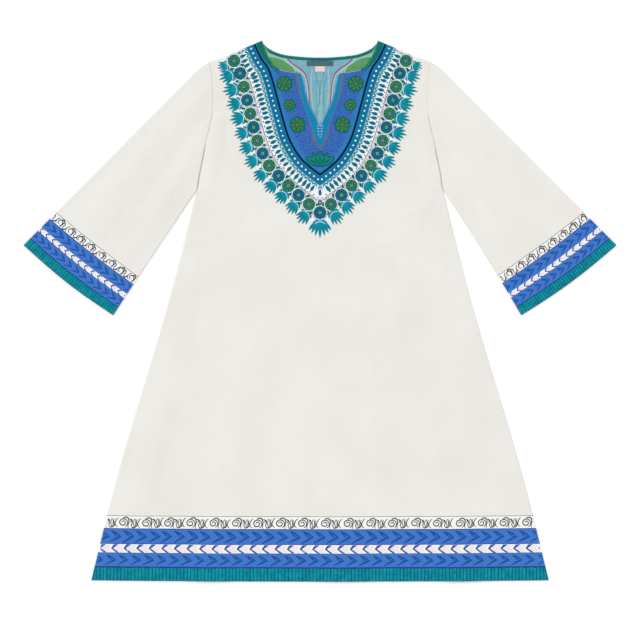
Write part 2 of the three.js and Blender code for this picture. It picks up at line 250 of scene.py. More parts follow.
inks = {
    # name: colour, the colour it varies to, how much it varies
    "tealInk": ("#109AAC", "#0A8296", 0.9),
    "tealDark": ("#0A5F70", "#0A4E5E", 0.7),
    "dropInk": ("#107C94", "#0C6880", 0.8),
    "bandInk": ("#0C6AA0", "#0C7A92", 0.9),
    "lineInk": ("#7CC4D2", "#66B2C6", 0.6),
    "navyInk": ("#050C34", "#081242", 0.6),
    "plateInk": ("#3370B6", "#4263B8", 1.0),
    "rimInk": ("#2A7EB6", "#3674BE", 0.9),
    "midBlue": ("#3076B8", "#3A6CBC", 0.9),
    "violetInk": ("#3F5FB4", "#2E6CA8", 0.9),
    "speckInk": ("#17407F", "#1E4C88", 0.7),
    "greenInk": ("#1E8048", "#14705A", 0.9),
    "deepGreen": ("#0C4E48", "#0A4450", 0.7),
    "jadeInk": ("#0E7C80", "#128064", 0.9),
    "fanLine": ("#3AA496", "#2C9490", 0.6),
    "whiteInk": ("#F7F7F6", "#EFF1F2", 0.5),
    "pinkWhite": ("#F2EDF2", "#F7F8F8", 0.8),
    "yellowInk": ("#C9C048", "#D8D070", 0.7),
    "roundBlue": ("#1E5E92", "#1A6E86", 1.0),
    "roundGreen": ("#26805A", "#4C9448", 1.0),
    "inkLine": ("#234450", "#16323C", 0.6),
    "scrollInk": ("#3C3E42", "#505258", 0.8),
    "hemChevron": ("#1F529E", "#1E5CA4", 0.8),
    "hemTeal": ("#2E78BC", "#2A70BA", 0.6),
    "hemNavy": ("#1C2C80", "#28388C", 0.6),
    "hemWhite": ("#EFE8EB", "#E6E4EA", 0.9),
    "hemBlue": ("#3766C0", "#2E58B0", 0.6),
    "ribInk": ("#089EA9", "#057B8C", 1.0),
    "limeInk": ("#589460", "#669E66", 0.9),
    "limePale": ("#96C4A8", "#8CC0B4", 0.9),
    "whiteSoft": ("#B4D2DA", "#A4C8D2", 0.8),
    "paleTeal": ("#80B6C4", "#74AABC", 1.0),
    "redInk": ("#A0405C", "#AC5468", 0.6),
    "thinTeal": ("#3A96A8", "#2F8AA0", 0.6),
    "cyanWhite": ("#DCEEF1", "#EEF4F5", 0.9),
    "paleMiddle": ("#A6BECB", "#98BCC6", 1.0),
    "tealMiddle": ("#5FA2B2", "#6CAEBA", 0.9),
    "greyInk": ("#74727C", "#66687A", 0.9),
    "brownInk": ("#7E6A66", "#5E6474", 1.0),
    "labelEdge": ("#5A7E9C", "#50708E", 0.6),
    "stitchPale": ("#58B4A0", "#48A896", 0.6),
    "stitchBlue": ("#5CB4DC", "#48A4D2", 0.6),
}
inkMaterials = {}


def inkMaterial(name):
    # dye printed into the same weave: a little uneven, with painted shade where the threads dip
    if name in inkMaterials:
        return inkMaterials[name]
    colour, other, change = inks[name]
    material, tree, shader = newMaterial(name)
    place3 = node(tree, "ShaderNodeTexCoord").outputs["Object"]
    threads = weaveBump(tree, shader, place3, 0.8)[0]
    patchy = mapRange(tree, noise(tree, place3, 110.0, 3.0, Roughness=0.6), 0.32, 0.68, 0.0, change)
    # painted shade in the gaps between the threads, darkening toward #4A4A50
    dyeWithThreadShade(tree, shader, threads, mixColours(tree, patchy, linear(colour), linear(other)), 0.16, "#4A4A50")
    setShader(shader, 0.9, 0.08)
    inkMaterials[name] = material
    return material


def meshObject(name, vertices, faces, material=None, shadeSmooth=True):
    data = bpy.data.meshes.new(name)
    data.from_pydata((np.asarray(vertices, float) * mm).tolist(), [], faces)
    data.update()
    if shadeSmooth and len(data.polygons):
        data.polygons.foreach_set("use_smooth", [True] * len(data.polygons))
    made = bpy.data.objects.new(name, data)
    bpy.context.scene.collection.objects.link(made)
    if material:
        data.materials.append(material)
    return made


def gridQuads(rows, columns, start=0, flip=False):
    r, c = np.meshgrid(np.arange(rows - 1), np.arange(columns - 1), indexing="ij")
    a = start + r * columns + c
    quads = np.stack([a, a + 1, a + columns + 1, a + columns], -1).reshape(-1, 4)
    return quads[:, ::-1] if flip else quads


def rimQuads(edge, above, below):
    # joins the upper and lower copies of an edge; edge is a run of point numbers
    a, b = edge[:-1], edge[1:]
    return np.stack([above + a, below + a, below + b, above + b], -1)


def halfShell(points, top, under, side, openRows):
    # one side of a panel as a thin wall, whose inner rim is open in the rows that share the centre line
    rows, columns = points.shape[:2]
    count = rows * columns
    flat = points.reshape(-1, 2)
    x = side * flat[:, 0]
    vertices = np.concatenate([
        np.stack([x, flat[:, 1], top.reshape(-1)], -1), np.stack([x, flat[:, 1], under.reshape(-1)], -1)])
    number = np.arange(count).reshape(rows, columns)
    faces = [gridQuads(rows, columns, 0), gridQuads(rows, columns, count, True)]
    for edge in (number[0], number[-1][::-1], number[:, -1], number[openRows:, 0][::-1]):
        faces.append(rimQuads(edge, 0, count)[:, ::-1])
    faces = np.concatenate(faces)
    return vertices, faces if side > 0 else faces[:, ::-1]


def weldCentre(target):
    # joins the doubles on the centre line
    work = bmesh.new()
    work.from_mesh(target.data)
    centre = [v for v in work.verts if abs(v.co.x) < 1e-6]
    bmesh.ops.remove_doubles(work, verts=centre, dist=1e-5)
    work.to_mesh(target.data)
    work.free()


def setBorderMap(target, across, fromEdge):
    # the border's own map: how far along the edge, and how far from it, in metres
    layer = target.data.uv_layers.new(name="border")
    corner = np.empty(len(target.data.loops), int)
    target.data.loops.foreach_get("vertex_index", corner)
    values = np.stack([across[corner], fromEdge[corner]], -1) * mm
    layer.data.foreach_set("uv", values.reshape(-1))


# Soft ridges and troughs: from and to, as x and drop, then the height and the reach to each side, in mm.
bodyFolds = [
    (-118, 560, -205, 1010, 2.6, 58), (30, 640, 42, 1010, 2.0, 66), (150, 500, 262, 1010, 3.0, 62),
    (-232, 420, -345, 860, 1.8, 44), (-190, 150, -208, 285, 2.6, 24), (190, 150, 208, 285, 2.6, 24),
    (-160, 330, 120, 430, 1.4, 70),
]
bodyCreases = [
    (-60, 470, -92, 820, -0.7, 22), (88, 560, 120, 905, 0.6, 18), (-282, 640, -330, 930, 0.8, 20),
    (215, 360, 300, 700, 0.7, 19), (-150, 300, -196, 520, 0.6, 17), (262, 610, 330, 940, -0.6, 18),
    (-20, 700, -34, 960, 0.5, 15), (176, 300, 205, 470, 0.5, 14), (-205, 330, -232, 560, -0.5, 14),
    (-330, 800, -366, 990, 0.7, 17), (340, 790, 372, 985, 0.6, 16), (60, 800, 82, 1000, 0.5, 14),
    (-170, 760, -186, 990, -0.5, 15), (208, 800, 222, 996, -0.5, 14), (-90, 340, -30, 372, 0.5, 18),
    (70, 392, 165, 352, 0.5, 16), (-215, 296, -150, 330, 0.7, 13), (214, 298, 158, 326, 0.8, 12),
    (-178, 120, -186, 205, 0.5, 9), (180, 96, 187, 190, 0.45, 9), (120, 690, 150, 860, 0.45, 13),
]
backCreases = [
    (-120, 200, -210, 760, 0.5, 30), (60, 260, 110, 900, 0.45, 34), (210, 420, 320, 960, 0.5, 28),
    (-260, 600, -350, 980, 0.45, 24), (-40, 620, -30, 1000, 0.4, 26), (-150, 90, 120, 130, 0.35, 22),
]
leftSleeveFolds = [
    (-232, 110, -420, 330, 2.6, 46), (-250, 235, -352, 400, 1.8, 34),
]
rightSleeveFolds = [
    (228, 120, 400, 350, 2.4, 44), (262, 225, 366, 420, 2.0, 30), (300, 150, 440, 290, 1.5, 30),
]
leftSleeveCreases = [
    (-224, 150, -330, 300, -0.9, 15), (-214, 96, -282, 176, 0.6, 11), (-236, 205, -300, 318, 0.7, 12),
    (-300, 180, -430, 322, 0.6, 13), (-352, 300, -420, 400, -0.6, 13), (-222, 60, -262, 120, 0.5, 10),
    (-390, 260, -480, 352, 0.5, 12), (-280, 330, -350, 440, 0.5, 11),
]
rightSleeveCreases = [
    (222, 172, 262, 262, -1.0, 13), (216, 110, 300, 212, 0.7, 12), (236, 196, 330, 348, 0.7, 12),
    (232, 70, 300, 140, 0.5, 10), (330, 240, 420, 352, -0.6, 14), (300, 310, 362, 430, 0.6, 11),
    (400, 262, 486, 350, 0.5, 12), (246, 250, 300, 350, 0.6, 9),
]


def foldHeight(table, x, y):
    height = np.zeros_like(x)
    for fromX, fromDrop, toX, toDrop, rise, reach in table:
        start, end = place((fromX, fromDrop)), place((toX, toDrop))
        along = end - start
        share = ((x - start[0]) * along[0] + (y - start[1]) * along[1]) / (along @ along)
        near = np.clip(share, 0, 1)
        away = np.hypot(x - start[0] - near * along[0], y - start[1] - near * along[1]) / reach
        height += np.where(away < 1, rise * np.cos(np.minimum(away, 1) * math.pi / 2) ** 2, 0)
    return height


def smooth(t):
    t = np.clip(t, 0, 1)
    return t * t * (3 - 2 * t)


def roll(distance, radius):
    # 0 at an edge and 1 beyond the radius, round in between
    t = np.clip(distance / radius, 0, 1)
    return np.sqrt(1 - (1 - t) ** 2)


layers = {
    "backUnder": 0.35,
    "clothThick": 0.55,
    "frontTop": 2.75,
    "sideEdgeTop": 1.3,
    "sideRoll": 3.4,
    "armholeRoll": 2.2,
    "shoulderRoll": 3.0,
    "hemRoll": 1.1,
    "hemRollDrop": 0.45,
    "hemRise": 0.25,
    "hemThick": 1.15,
    "hemDepth": 22.0,
    "seamHold": 34.0,
    "armholeOver": 0.9,  # how far the front's edge lies over the sleeve at the shoulder
    "armholeFades": 6.0,  # how far into the front that push reaches
    "underarmGap": 1.2,  # how far the edge stays short of the armhole near the underarm
    "underarmEnds": 262.0,  # the drop where the side seam takes over
    "underarmLift": 0.7,
    "armholeDip": 0.3,
    "neckDip": 0.3,
    "frontStart": 2.2,  # where prints lie before they are cast on to the front
    "insideStart": 1.0,  # the same for the back's inside
    "underStart": 0.3,  # and for the undersides
    "castFrom": 0.05,  # metres from there to the start of each ray
}
edgeSteps = np.array([0.0, 0.4, 1.0, 1.9, 3.0, 4.4])


def skirtHalf(t):
    flare = dress["underarmHalf"] + (dress["hemHalf"] - dress["underarmHalf"]) * t
    return flare - dress["sideSway"] * np.sin(2 * math.pi * t)


def rowBetween(inner, outer, columns, bow=0.0):
    # points from the inner to the outer end, closer together near both ends
    width = np.linalg.norm(outer - inner)
    near = edgeSteps / width
    middle = np.linspace(near[-1], 1 - near[-1], columns)[1:-1]
    t = np.concatenate([near, middle, 1 - near[::-1]])
    row = inner + (outer - inner) * t[:, None]
    row[:, 1] -= bow * t * (1 - t)
    return row


def bodyRows(neck, counts):
    rows = []
    chestMiddle = place((0.0, dress["underarmDrop"]))
    hemMiddle = place((0.0, dress["length"]))
    skirtLength = dress["length"] - dress["underarmDrop"]
    hemNear = edgeSteps / skirtLength
    shares = 1 - np.concatenate([hemNear, np.linspace(hemNear[-1], 1, counts["skirt"])[1:-1]])
    for t in shares:
        drop = dress["underarmDrop"] + (skirtLength - dress["hemLift"]) * t
        inner = chestMiddle + (hemMiddle - chestMiddle) * t
        rows.append(rowBetween(inner, place((skirtHalf(t), drop)), counts["across"], dress["hemLift"] * t))
    for t in np.linspace(0, 1, counts["chest"], endpoint=False):
        inner = chestMiddle + (neck[0] - chestMiddle) * t
        rows.append(rowBetween(inner, spline(armhole, t * counts["armholeShare"]), counts["across"]))
    openRows = len(rows)
    nearTop = edgeSteps[::-1] / 200.0
    for t in np.concatenate([np.linspace(0, 1 - nearTop[0], counts["yoke"])[:-1], 1 - nearTop]):
        outer = spline(armhole, counts["armholeShare"] + (1 - counts["armholeShare"]) * t)
        rows.append(rowBetween(spline(neck, t), outer, counts["across"]))
    return np.array(rows), openRows


def bodyEdges(points):
    # how far each point is from the side seam or armhole, the hem, the shoulder and the neck
    x, y = points[..., 0], points[..., 1]
    toSide = np.linalg.norm(points - points[:, -1:], axis=-1)
    toNeck = np.linalg.norm(points - points[:, :1], axis=-1)
    toHem = np.repeat((y[:, :1] - y[:1, :1]), x.shape[1], 1)
    high, end = frontNeck[-1], armhole[-1]
    square = np.array([-(end - high)[1], (end - high)[0]]) / np.linalg.norm(end - high)
    toShoulder = np.abs((points - high) @ square)
    below = y < armhole[0, 1]
    return {"side": toSide, "neck": toNeck, "hem": toHem, "shoulder": toShoulder, "below": below}


def backDent(x, y):
    # where the back lifts off the surface a little
    held = smooth((dress["length"] / 2 + y) / 60)
    return foldHeight(backCreases, x, y) * held


def frontRest(x, y):
    # the height of the front's upper side away from its edges
    skirt = np.clip((armhole[0, 1] - y) / (dress["length"] - dress["underarmDrop"]), 0, 1)
    held = np.where(y < armhole[0, 1], smooth((skirtHalf(skirt) - np.abs(x)) / layers["seamHold"]), 1.0)
    folds = foldHeight(bodyFolds, x, y) + foldHeight(bodyCreases, x, y)
    return layers["frontTop"] + folds * held + backDent(x, y)


def overArmhole(drop):
    # how far the front's edge lies over the sleeve, down the armhole
    return layers["armholeOver"] - (layers["armholeOver"] + layers["underarmGap"]) * nearUnderarm(drop)


def nearUnderarm(drop):
    # 0 along the upper armhole and 1 on its last stretch, where the seam stands open
    return smooth((drop - 186) / 30)


def joinHalves(name, points, halves, openRows, material):
    # both halves as one mesh; a half is its side and the heights of its upper and lower skin
    vertices, faces = [], []
    for side, top, under in halves:
        shell, quads = halfShell(points, top, under, side, openRows)
        faces.append(quads + sum(len(done) for done in vertices))
        vertices.append(shell)
    return meshObject(name, np.concatenate(vertices), np.concatenate(faces).tolist(), material)


def buildPanel(name, points, halves, openRows, fromHem, material):
    made = joinHalves(name, points, halves, openRows, material)
    across = np.concatenate([np.tile(side * points[..., 0].reshape(-1), 2) for side, *_ in halves])
    setBorderMap(made, across, np.tile(fromHem.reshape(-1), 4))
    weldCentre(made)
    return made


def buildFront(material):
    points, openRows = bodyRows(frontNeck, {
        "skirt": 146, "chest": 26, "yoke": 58, "across": 66, "armholeShare": 0.42})
    edges = bodyEdges(points)
    # the armhole edge is pushed out over the sleeve
    drop = dress["length"] / 2 - points[..., 1]
    push = overArmhole(drop) * np.exp(-edges["side"] / layers["armholeFades"])
    points[..., 0] += push * ~edges["below"] * (1 - smooth((drop - 270) / 6))
    onBelow = edges["below"] | (drop > layers["underarmEnds"])
    sideRound = roll(edges["side"], np.where(onBelow, layers["sideRoll"], layers["armholeRoll"]))
    lifted = layers["underarmLift"] * nearUnderarm(drop) * (1 - smooth((drop - layers["underarmEnds"]) / 12))
    inHem = smooth((layers["hemDepth"] - edges["hem"]) / 4)
    thick = layers["clothThick"] + (layers["hemThick"] - layers["clothThick"]) * inHem
    onNeck = (np.arange(len(points)) >= openRows)[:, None]
    neckDip = layers["neckDip"] * (1 - roll(edges["neck"], 1.2)) * onNeck
    edgeTop = layers["sideEdgeTop"]
    halves = []
    for side in (1, -1):
        x, y = side * points[..., 0], points[..., 1]
        rest = frontRest(x, y)
        onSleeve = rest - layers["armholeDip"] + lifted
        sideTop = np.where(onBelow, edgeTop + backDent(x, y), onSleeve)
        top = sideTop + (rest - sideTop) * sideRound
        top = edgeTop + (top - edgeTop) * roll(edges["shoulder"], layers["shoulderRoll"])
        hemTop = top - layers["hemRollDrop"] * (1 - roll(edges["hem"], layers["hemRoll"]))
        hemTop = hemTop + layers["hemRise"] * inHem
        top = np.where(y < armhole[0, 1], hemTop, top) - neckDip
        onBack = layers["backUnder"] + layers["clothThick"] + 0.06 + backDent(x, y)
        halves.append((side, top, np.maximum(top - thick, np.minimum(onBack, top - 0.2))))
    return buildPanel("frontCloth", points, halves, openRows, edges["hem"], material)


def buildBack(material):
    points, openRows = bodyRows(backNeck, {
        "skirt": 104, "chest": 22, "yoke": 36, "across": 44, "armholeShare": 0.62})
    halves = []
    for side in (1, -1):
        under = layers["backUnder"] + backDent(side * points[..., 0], points[..., 1])
        halves.append((side, under + layers["clothThick"], under))
    return buildPanel("backCloth", points, halves, openRows, bodyEdges(points)["hem"], material)


sleeveShape = {
    "roundTo": (240.0, 69.4),
    "roundBy": (224.0, 49.5),
    "cuffTop": (548.5, 378.3),
    "cuffBow": 5.2,
    "bowFades": 140.0,
    "roundShare": 0.12,
    "gap": 0.5,
    "under": 0.35,
    "top": 2.95,
    "wall": 0.55,
    "cuffWall": 1.05,
    "cuffDepth": 16.0,
    "valley": 0.45,
    "underarmValley": 0.85,  # how much deeper the valley is near the underarm
    "valleyDrop": 222.0,
    "valleyReach": 7.0,
    "foldsFrom": 26.0,
    "along": 92,
    "across": 44,
}
sleeveSides = {
    "Right": {
        "side": 1, "foot": (372.5, 508.0), "underBow": 2.0,
        "folds": rightSleeveFolds, "creases": rightSleeveCreases,
    },
    "Left": {
        "side": -1, "foot": (383.0, 508.0), "underBow": 0.5,
        "folds": leftSleeveFolds, "creases": leftSleeveCreases,
    },
}


def upperFold(t):
    t = np.asarray(t, float)
    start, bend, end = armhole[-1], place(sleeveShape["roundBy"]), place(sleeveShape["roundTo"])
    tip = place(sleeveShape["cuffTop"])
    s = np.clip(t / sleeveShape["roundShare"], 0, 1)[..., None]
    curve = (1 - s) ** 2 * start + 2 * s * (1 - s) * bend + s**2 * end
    straight = np.clip((t - sleeveShape["roundShare"]) / (1 - sleeveShape["roundShare"]), 0, 1)[..., None]
    return np.where(t[..., None] < sleeveShape["roundShare"], curve, end + (tip - end) * straight)


def underarmSeam(shape, t):
    t = np.asarray(t, float)[..., None]
    start, end = armhole[0], place(shape["foot"])
    run = (end - start) / np.linalg.norm(end - start)
    square = np.array([-run[1], run[0]])
    return start + (end - start) * t + square * shape["underBow"] * np.sin(math.pi * t)


def sleevePoint(shape, along, across):
    # a point of the flat sleeve: shares from armhole to cuff and from the upper fold to the underarm seam
    along, across = np.broadcast_arrays(np.asarray(along, float), np.asarray(across, float))
    a, b = along[..., None], across[..., None]
    upper, lower = upperFold(along), underarmSeam(shape, along)
    edge = upper * (1 - b) + lower * b
    upper0, lower0 = upperFold(np.zeros(1))[0], underarmSeam(shape, np.zeros(1))[0]
    upper1, lower1 = upperFold(np.ones(1))[0], underarmSeam(shape, np.ones(1))[0]
    edge = edge + (spline(armhole, 1 - across) - (upper0 * (1 - b) + lower0 * b)) * (1 - a)
    chord = (upper1 - lower1) / np.linalg.norm(upper1 - lower1)
    outOfCuff = np.array([chord[1], -chord[0]])
    edge = edge + outOfCuff * sleeveShape["cuffBow"] * np.sin(math.pi * b) * a
    edge[..., 0] += sleeveShape["gap"] * (1 - along)
    return edge


def cuffFrame(shape):
    # the cuff's upper end, the way along it, the way out of it and its length
    upper, lower = upperFold(np.ones(1))[0], underarmSeam(shape, np.ones(1))[0]
    width = np.linalg.norm(lower - upper)
    along = (lower - upper) / width
    return upper, along, np.array([-along[1], along[0]]), width


def fromCuffEdge(shape, p):
    # how far points lie inside the bowed edge of the cuff; the bow fades with the distance
    upper, along, out, width = cuffFrame(shape)
    bow = sleeveShape["cuffBow"] * np.sin(math.pi * np.clip((p - upper) @ along / width, 0, 1))
    return (bow - (p - upper) @ out) / (1 + bow / sleeveShape["bowFades"])


def sleeveTop(shape, x, y, toArmhole):
    # how much higher the upper layer lies than level: its folds, and the valley along the armhole
    lift = foldHeight(shape["folds"], x, y) + foldHeight(shape["creases"], x, y)
    drop = dress["length"] / 2 - y
    underarm = np.exp(-((drop - sleeveShape["valleyDrop"]) / 42) ** 2)
    valley = sleeveShape["valley"] + sleeveShape["underarmValley"] * underarm
    valley = valley * np.exp(-toArmhole / (sleeveShape["valleyReach"] * (1 + underarm)))
    return lift * smooth(toArmhole / sleeveShape["foldsFrom"]) - valley


def sleeveRings(shape, inner):
    # rings round the flattened sleeve, outside or inside its wall, with their border maps
    rings, fromEdges, acrosses = [], [], []
    alongs = np.concatenate([np.linspace(0, 0.98, sleeveShape["along"]), [0.987, 0.993, 0.9965, 0.9985, 1.0]])
    half = (sleeveShape["top"] - sleeveShape["under"]) / 2
    middle = (sleeveShape["top"] + sleeveShape["under"]) / 2
    length = np.linalg.norm(sleevePoint(shape, 1.0, 0.5) - sleevePoint(shape, 0.0, 0.5))
    turn = np.linspace(0, math.pi / 2, 7)
    rise = np.sin(turn)
    count = sleeveShape["across"]
    for along in alongs:
        width = np.linalg.norm(sleevePoint(shape, along, 0.0) - sleevePoint(shape, along, 1.0))
        fromCuff = (1 - along) * length
        high, inset, squeeze = half, 0.0, 1 - 0.25 * math.exp(-fromCuff / 5.0)
        if inner:
            inHem = float(smooth((sleeveShape["cuffDepth"] - fromCuff) / 3))
            inset = sleeveShape["wall"] + (sleeveShape["cuffWall"] - sleeveShape["wall"]) * inHem
            high, squeeze = half - inset, 1.0
        near = (inset + high * (1 - np.cos(turn))) / width
        shares = np.concatenate([near, np.linspace(near[-1], 1 - near[-1], count)[1:-1], 1 - near[::-1]])
        rises = np.concatenate([rise, np.ones(count - 2), rise[::-1]])
        p = sleevePoint(shape, along, shares)
        x, y = shape["side"] * p[:, 0], p[:, 1]
        held = smooth(np.minimum(shares, 1 - shares) * width / layers["seamHold"])
        lift = sleeveTop(shape, x, y, np.full_like(x, along * length)) * held
        upper = np.stack([x, y, middle + high * rises * squeeze + lift], -1)
        lower = np.stack([x, y, middle - high * rises], -1)[1:-1][::-1]
        rings.append(np.concatenate([upper, lower]))
        for values, kept in ((fromCuffEdge(shape, p), fromEdges), (shares * width, acrosses)):
            kept.append(np.concatenate([values, values[1:-1][::-1]]))
    return np.array(rings), np.array(fromEdges), np.array(acrosses)


def buildSleeve(name, shape, material):
    outer, fromEdge, across = sleeveRings(shape, False)
    inner = sleeveRings(shape, True)[0]
    steps, around = outer.shape[:2]
    count = steps * around
    number = np.arange(count).reshape(steps, around)
    nextOne = np.roll(number, -1, axis=1)
    tube = np.stack([number[:-1], nextOne[:-1], nextOne[1:], number[1:]], -1).reshape(-1, 4)
    armRim = np.stack([number[0], nextOne[0], count + nextOne[0], count + number[0]], -1)
    cuffRim = np.stack([number[-1], count + number[-1], count + nextOne[-1], nextOne[-1]], -1)
    faces = np.concatenate([tube[:, ::-1], tube + count, armRim, cuffRim])
    if shape["side"] < 0:
        faces = faces[:, ::-1]
    vertices = np.concatenate([outer.reshape(-1, 3), inner.reshape(-1, 3)])
    made = meshObject(name, vertices, faces.tolist(), material)
    setBorderMap(made, np.tile(across.reshape(-1), 2), np.tile(fromEdge.reshape(-1), 2))
    return made


cottonHem = clothMaterial("cottonHem", hemBorder)
cottonCuff = clothMaterial("cottonCuff", cuffBorder)
frontCloth = buildFront(cottonHem)
backCloth = buildBack(cottonHem)
sleeves = {name: buildSleeve("sleeve" + name, shape, cottonCuff) for name, shape in sleeveSides.items()}
print("cloth made")


trims = {
    "backWidth": 5.5,
    "backThinnest": 0.8,
    "backShowing": 0.62,
    "backClear": 0.6,
    "backTo": 0.79,
    "frontFrom": 0.695,
    "frontTo": 1.0,
    "frontNarrow": 3.0,
    "frontWide": 12.0,
    "rise": 0.75,  # how far a binding stands above its cloth
    "wrap": 0.7,  # how far it reaches round the cloth's edge
    "facingRise": 0.55,
}
# The strip that finishes the slit, as inner half, outer half and drop.
facingRows = [
    (0.0, 1.6, 199.0), (0.0, 9.6, 182.0), (0.0, 15.6, 160.6), (8.0, 22.8, 141.5), (20.6, 31.6, 117.5),
    (28.5, 37.4, 91.6), (31.2, 39.4, 74.0), (33.9, 41.0, 63.4),
]
labelSizes = {"main": (50.0, 9.5), "size": (20.0, 12.0), "gap": 0.4, "overlap": 0.6}
roundedShares = np.array([0.0, 0.03, 0.08, 0.16, 0.28, 0.5, 0.72, 0.84, 0.92, 0.97, 1.0])


def outwards(target):
    # faces the right way round on a closed mesh
    work = bmesh.new()
    work.from_mesh(target.data)
    bmesh.ops.recalc_face_normals(work, faces=work.faces[:])
    if work.calc_volume(signed=True) < 0:
        bmesh.ops.reverse_faces(work, faces=work.faces[:])
    work.to_mesh(target.data)
    work.free()
    return target


def ribbon(inner, outer):
    # points between two lines, closer together near both, and how many rows each is from an end
    grid = inner[:, None] * (1 - roundedShares[:, None]) + outer[:, None] * roundedShares[:, None]
    return grid, np.minimum(np.arange(len(grid)), np.arange(len(grid))[::-1])[:, None]


def closedPiece(name, grid, top, low, material):
    vertices, faces = halfShell(grid, top, low, 1, 0)
    return outwards(meshObject(name, vertices, faces.tolist(), material))


def trimPiece(name, inner, outer, under, rise, material):
    # a padded strip between two lines, over a height given by a function of x and y
    grid, fromEnd = ribbon(inner, outer)
    width = np.linalg.norm(outer - inner, axis=1)[:, None]
    fromEdge = np.minimum(roundedShares, 1 - roundedShares) * width
    crown = roll(fromEdge, 1.1) * np.where(fromEnd == 0, 0.35, np.where(fromEnd == 1, 0.85, 1.0))
    low = under(grid[..., 0], grid[..., 1])
    top = low + 0.12 + (rise - 0.12) * crown
    return closedPiece(name, grid, top, low, material)


def squareTo(line):
    along = np.gradient(line, axis=0)
    along /= np.linalg.norm(along, axis=1, keepdims=True)
    return np.stack([along[:, 1], -along[:, 0]], -1)


def backBinding(material):
    u = np.linspace(0, trims["backTo"], 90)
    edge = spline(backNeck, u)
    square = squareTo(edge)
    square[0] = (0.0, -1.0)
    frontEdge = spline(frontNeck, np.linspace(0, 1, 240))
    gap = np.min(np.linalg.norm(frontEdge[None] - edge[:, None], axis=2), axis=1)
    width = gap * trims["backShowing"] - trims["backClear"]
    width = np.clip(width, trims["backThinnest"], trims["backWidth"])
    inner, outer = edge - square * 0.25, edge + square * width[:, None]
    both = [np.concatenate([(side * [-1, 1])[:0:-1], side]) for side in (inner, outer)]
    return trimPiece("neckBindingBack", *both, lambda x, y: 0.92 + backDent(x, y), 1.05, material)


def frontBinding(name, side, material):
    u = np.linspace(trims["frontFrom"], trims["frontTo"], 70)
    edge = spline(frontNeck, u)
    square = squareTo(edge)
    width = np.linspace(trims["frontNarrow"], trims["frontWide"], len(u))
    shoulder = (armhole[-1] - frontNeck[-1]) / np.linalg.norm(armhole[-1] - frontNeck[-1])
    turned = smooth((u - 0.93) / 0.07)[:, None]  # the end follows the shoulder
    square = square * (1 - turned) + shoulder * turned
    square /= np.linalg.norm(square, axis=1, keepdims=True)
    edge = edge - [0.15, 0.35] * turned
    inner, outer = edge - square * trims["wrap"] * (1 - turned), edge + square * width[:, None]
    inner, outer = inner * [side, 1], outer * [side, 1]

    def under(x, y):
        points = np.stack([x, y], -1)[..., None, :]
        away = np.min(np.linalg.norm(points - (edge * [side, 1])[::3], axis=-1), axis=-1)
        return frontRest(x, y) - 0.12 - 0.9 * np.exp(-away / 0.5)

    return trimPiece(name, inner, outer, under, trims["rise"], material)


def slitFacing(material):
    rows = np.array(facingRows)
    t = np.linspace(0, 1, 120)
    inner = np.stack([np.interp(t * (len(rows) - 1), range(len(rows)), rows[:, k]) for k in (0, 2)], -1)
    outerHalf = np.maximum(spline(rows[:, 1:], t)[:, 0], inner[:, 0] + 0.3)
    inner, outer = place(inner), place(np.stack([outerHalf, inner[:, 1]], -1))
    grid, fromEnd = ribbon(inner, outer)
    onCentre = inner[:, :1] < 0.01
    fromEdge = np.where(onCentre, 1 - roundedShares, np.minimum(roundedShares, 1 - roundedShares))
    crown = roll(fromEdge * (outer - inner)[:, :1], 0.9) * np.where(fromEnd == 0, 0.3, 1.0)
    halves = []
    for side in (1, -1):
        low = frontRest(side * grid[..., 0], grid[..., 1]) - 0.15
        halves.append((side, low + 0.2 + trims["facingRise"] * crown, low))
    made = joinHalves("slitStrip", grid, halves, max(int(np.sum(onCentre)) - 1, 0), material)
    weldCentre(made)
    return outwards(made)


def labelPiece(name, size, topDrop, lift, bow, material):
    # a woven label that lifts a little between its stitched ends
    width, height = size
    x = np.linspace(-width / 2, width / 2, 41)
    y = place((0.0, topDrop + height / 2))[1] + np.linspace(-height / 2, height / 2, 15)
    across, up = np.meshgrid(x, y)
    fx, fy = np.abs(across) / (width / 2), (up - y[0]) / height
    free = 1 - fx**4
    low = 0.98 + backDent(across, up) + lift * free * (1 - fy) + bow * np.sin(across / 6.0) * free
    edge = np.minimum((1 - fx) * width / 2, np.minimum(fy, 1 - fy) * height)
    top = low + 0.16 + 0.16 * roll(edge, 0.5)
    return closedPiece(name, np.stack([across, up], -1), top, low, material)


def bindingMaterial(name, colour, other, middle=None):
    # bias cut cloth; the back's has a stretch of another colour in its middle
    material, tree, shader = newMaterial(name)
    place3 = node(tree, "ShaderNodeTexCoord").outputs["Object"]
    bias = (0, 0, math.radians(45))
    turned = node(tree, "ShaderNodeMapping", {"Vector": place3, "Rotation": bias}).outputs[0]
    threads = weaveBump(tree, shader, turned)[0]
    dyed = mixColours(tree, noise(tree, place3, 90.0, 3.0), linear(colour), linear(other))
    if middle:
        x = math2(tree, "ABSOLUTE", node(tree, "ShaderNodeSeparateXYZ", {0: place3}).outputs[0])
        dyed = mixColours(tree, mapRange(tree, x, 0.016, 0.024, 1.0, 0.0), dyed, linear(middle))
    # painted shade in the gaps between the threads, darkening toward #404848
    dyeWithThreadShade(tree, shader, threads, dyed, 0.2, "#404848")
    setShader(shader, 0.85, 0.1)
    return material


def wovenLabelMaterial(name, colour, other, roughness):
    # satin woven: fine lines along the label, with a faint change of shade
    material, tree, shader = newMaterial(name)
    place3 = node(tree, "ShaderNodeTexCoord").outputs["Object"]
    lines = waves(tree, place3, 0.32, "Y", Distortion=0.4)
    share = math2(tree, "MULTIPLY", math2(tree, "ADD", lines, noise(tree, place3, 320.0, 2.0)), 0.5)
    tree.links.new(mixColours(tree, share, linear(colour), linear(other)), shader.inputs["Base Color"])
    raised = math2(tree, "MULTIPLY", lines, 0.06 * mm)
    bump = node(tree, "ShaderNodeBump", {"Height": raised, "Distance": 1.0})
    tree.links.new(bump.outputs["Normal"], shader.inputs["Normal"])
    setShader(shader, roughness, 0.4)
    return material


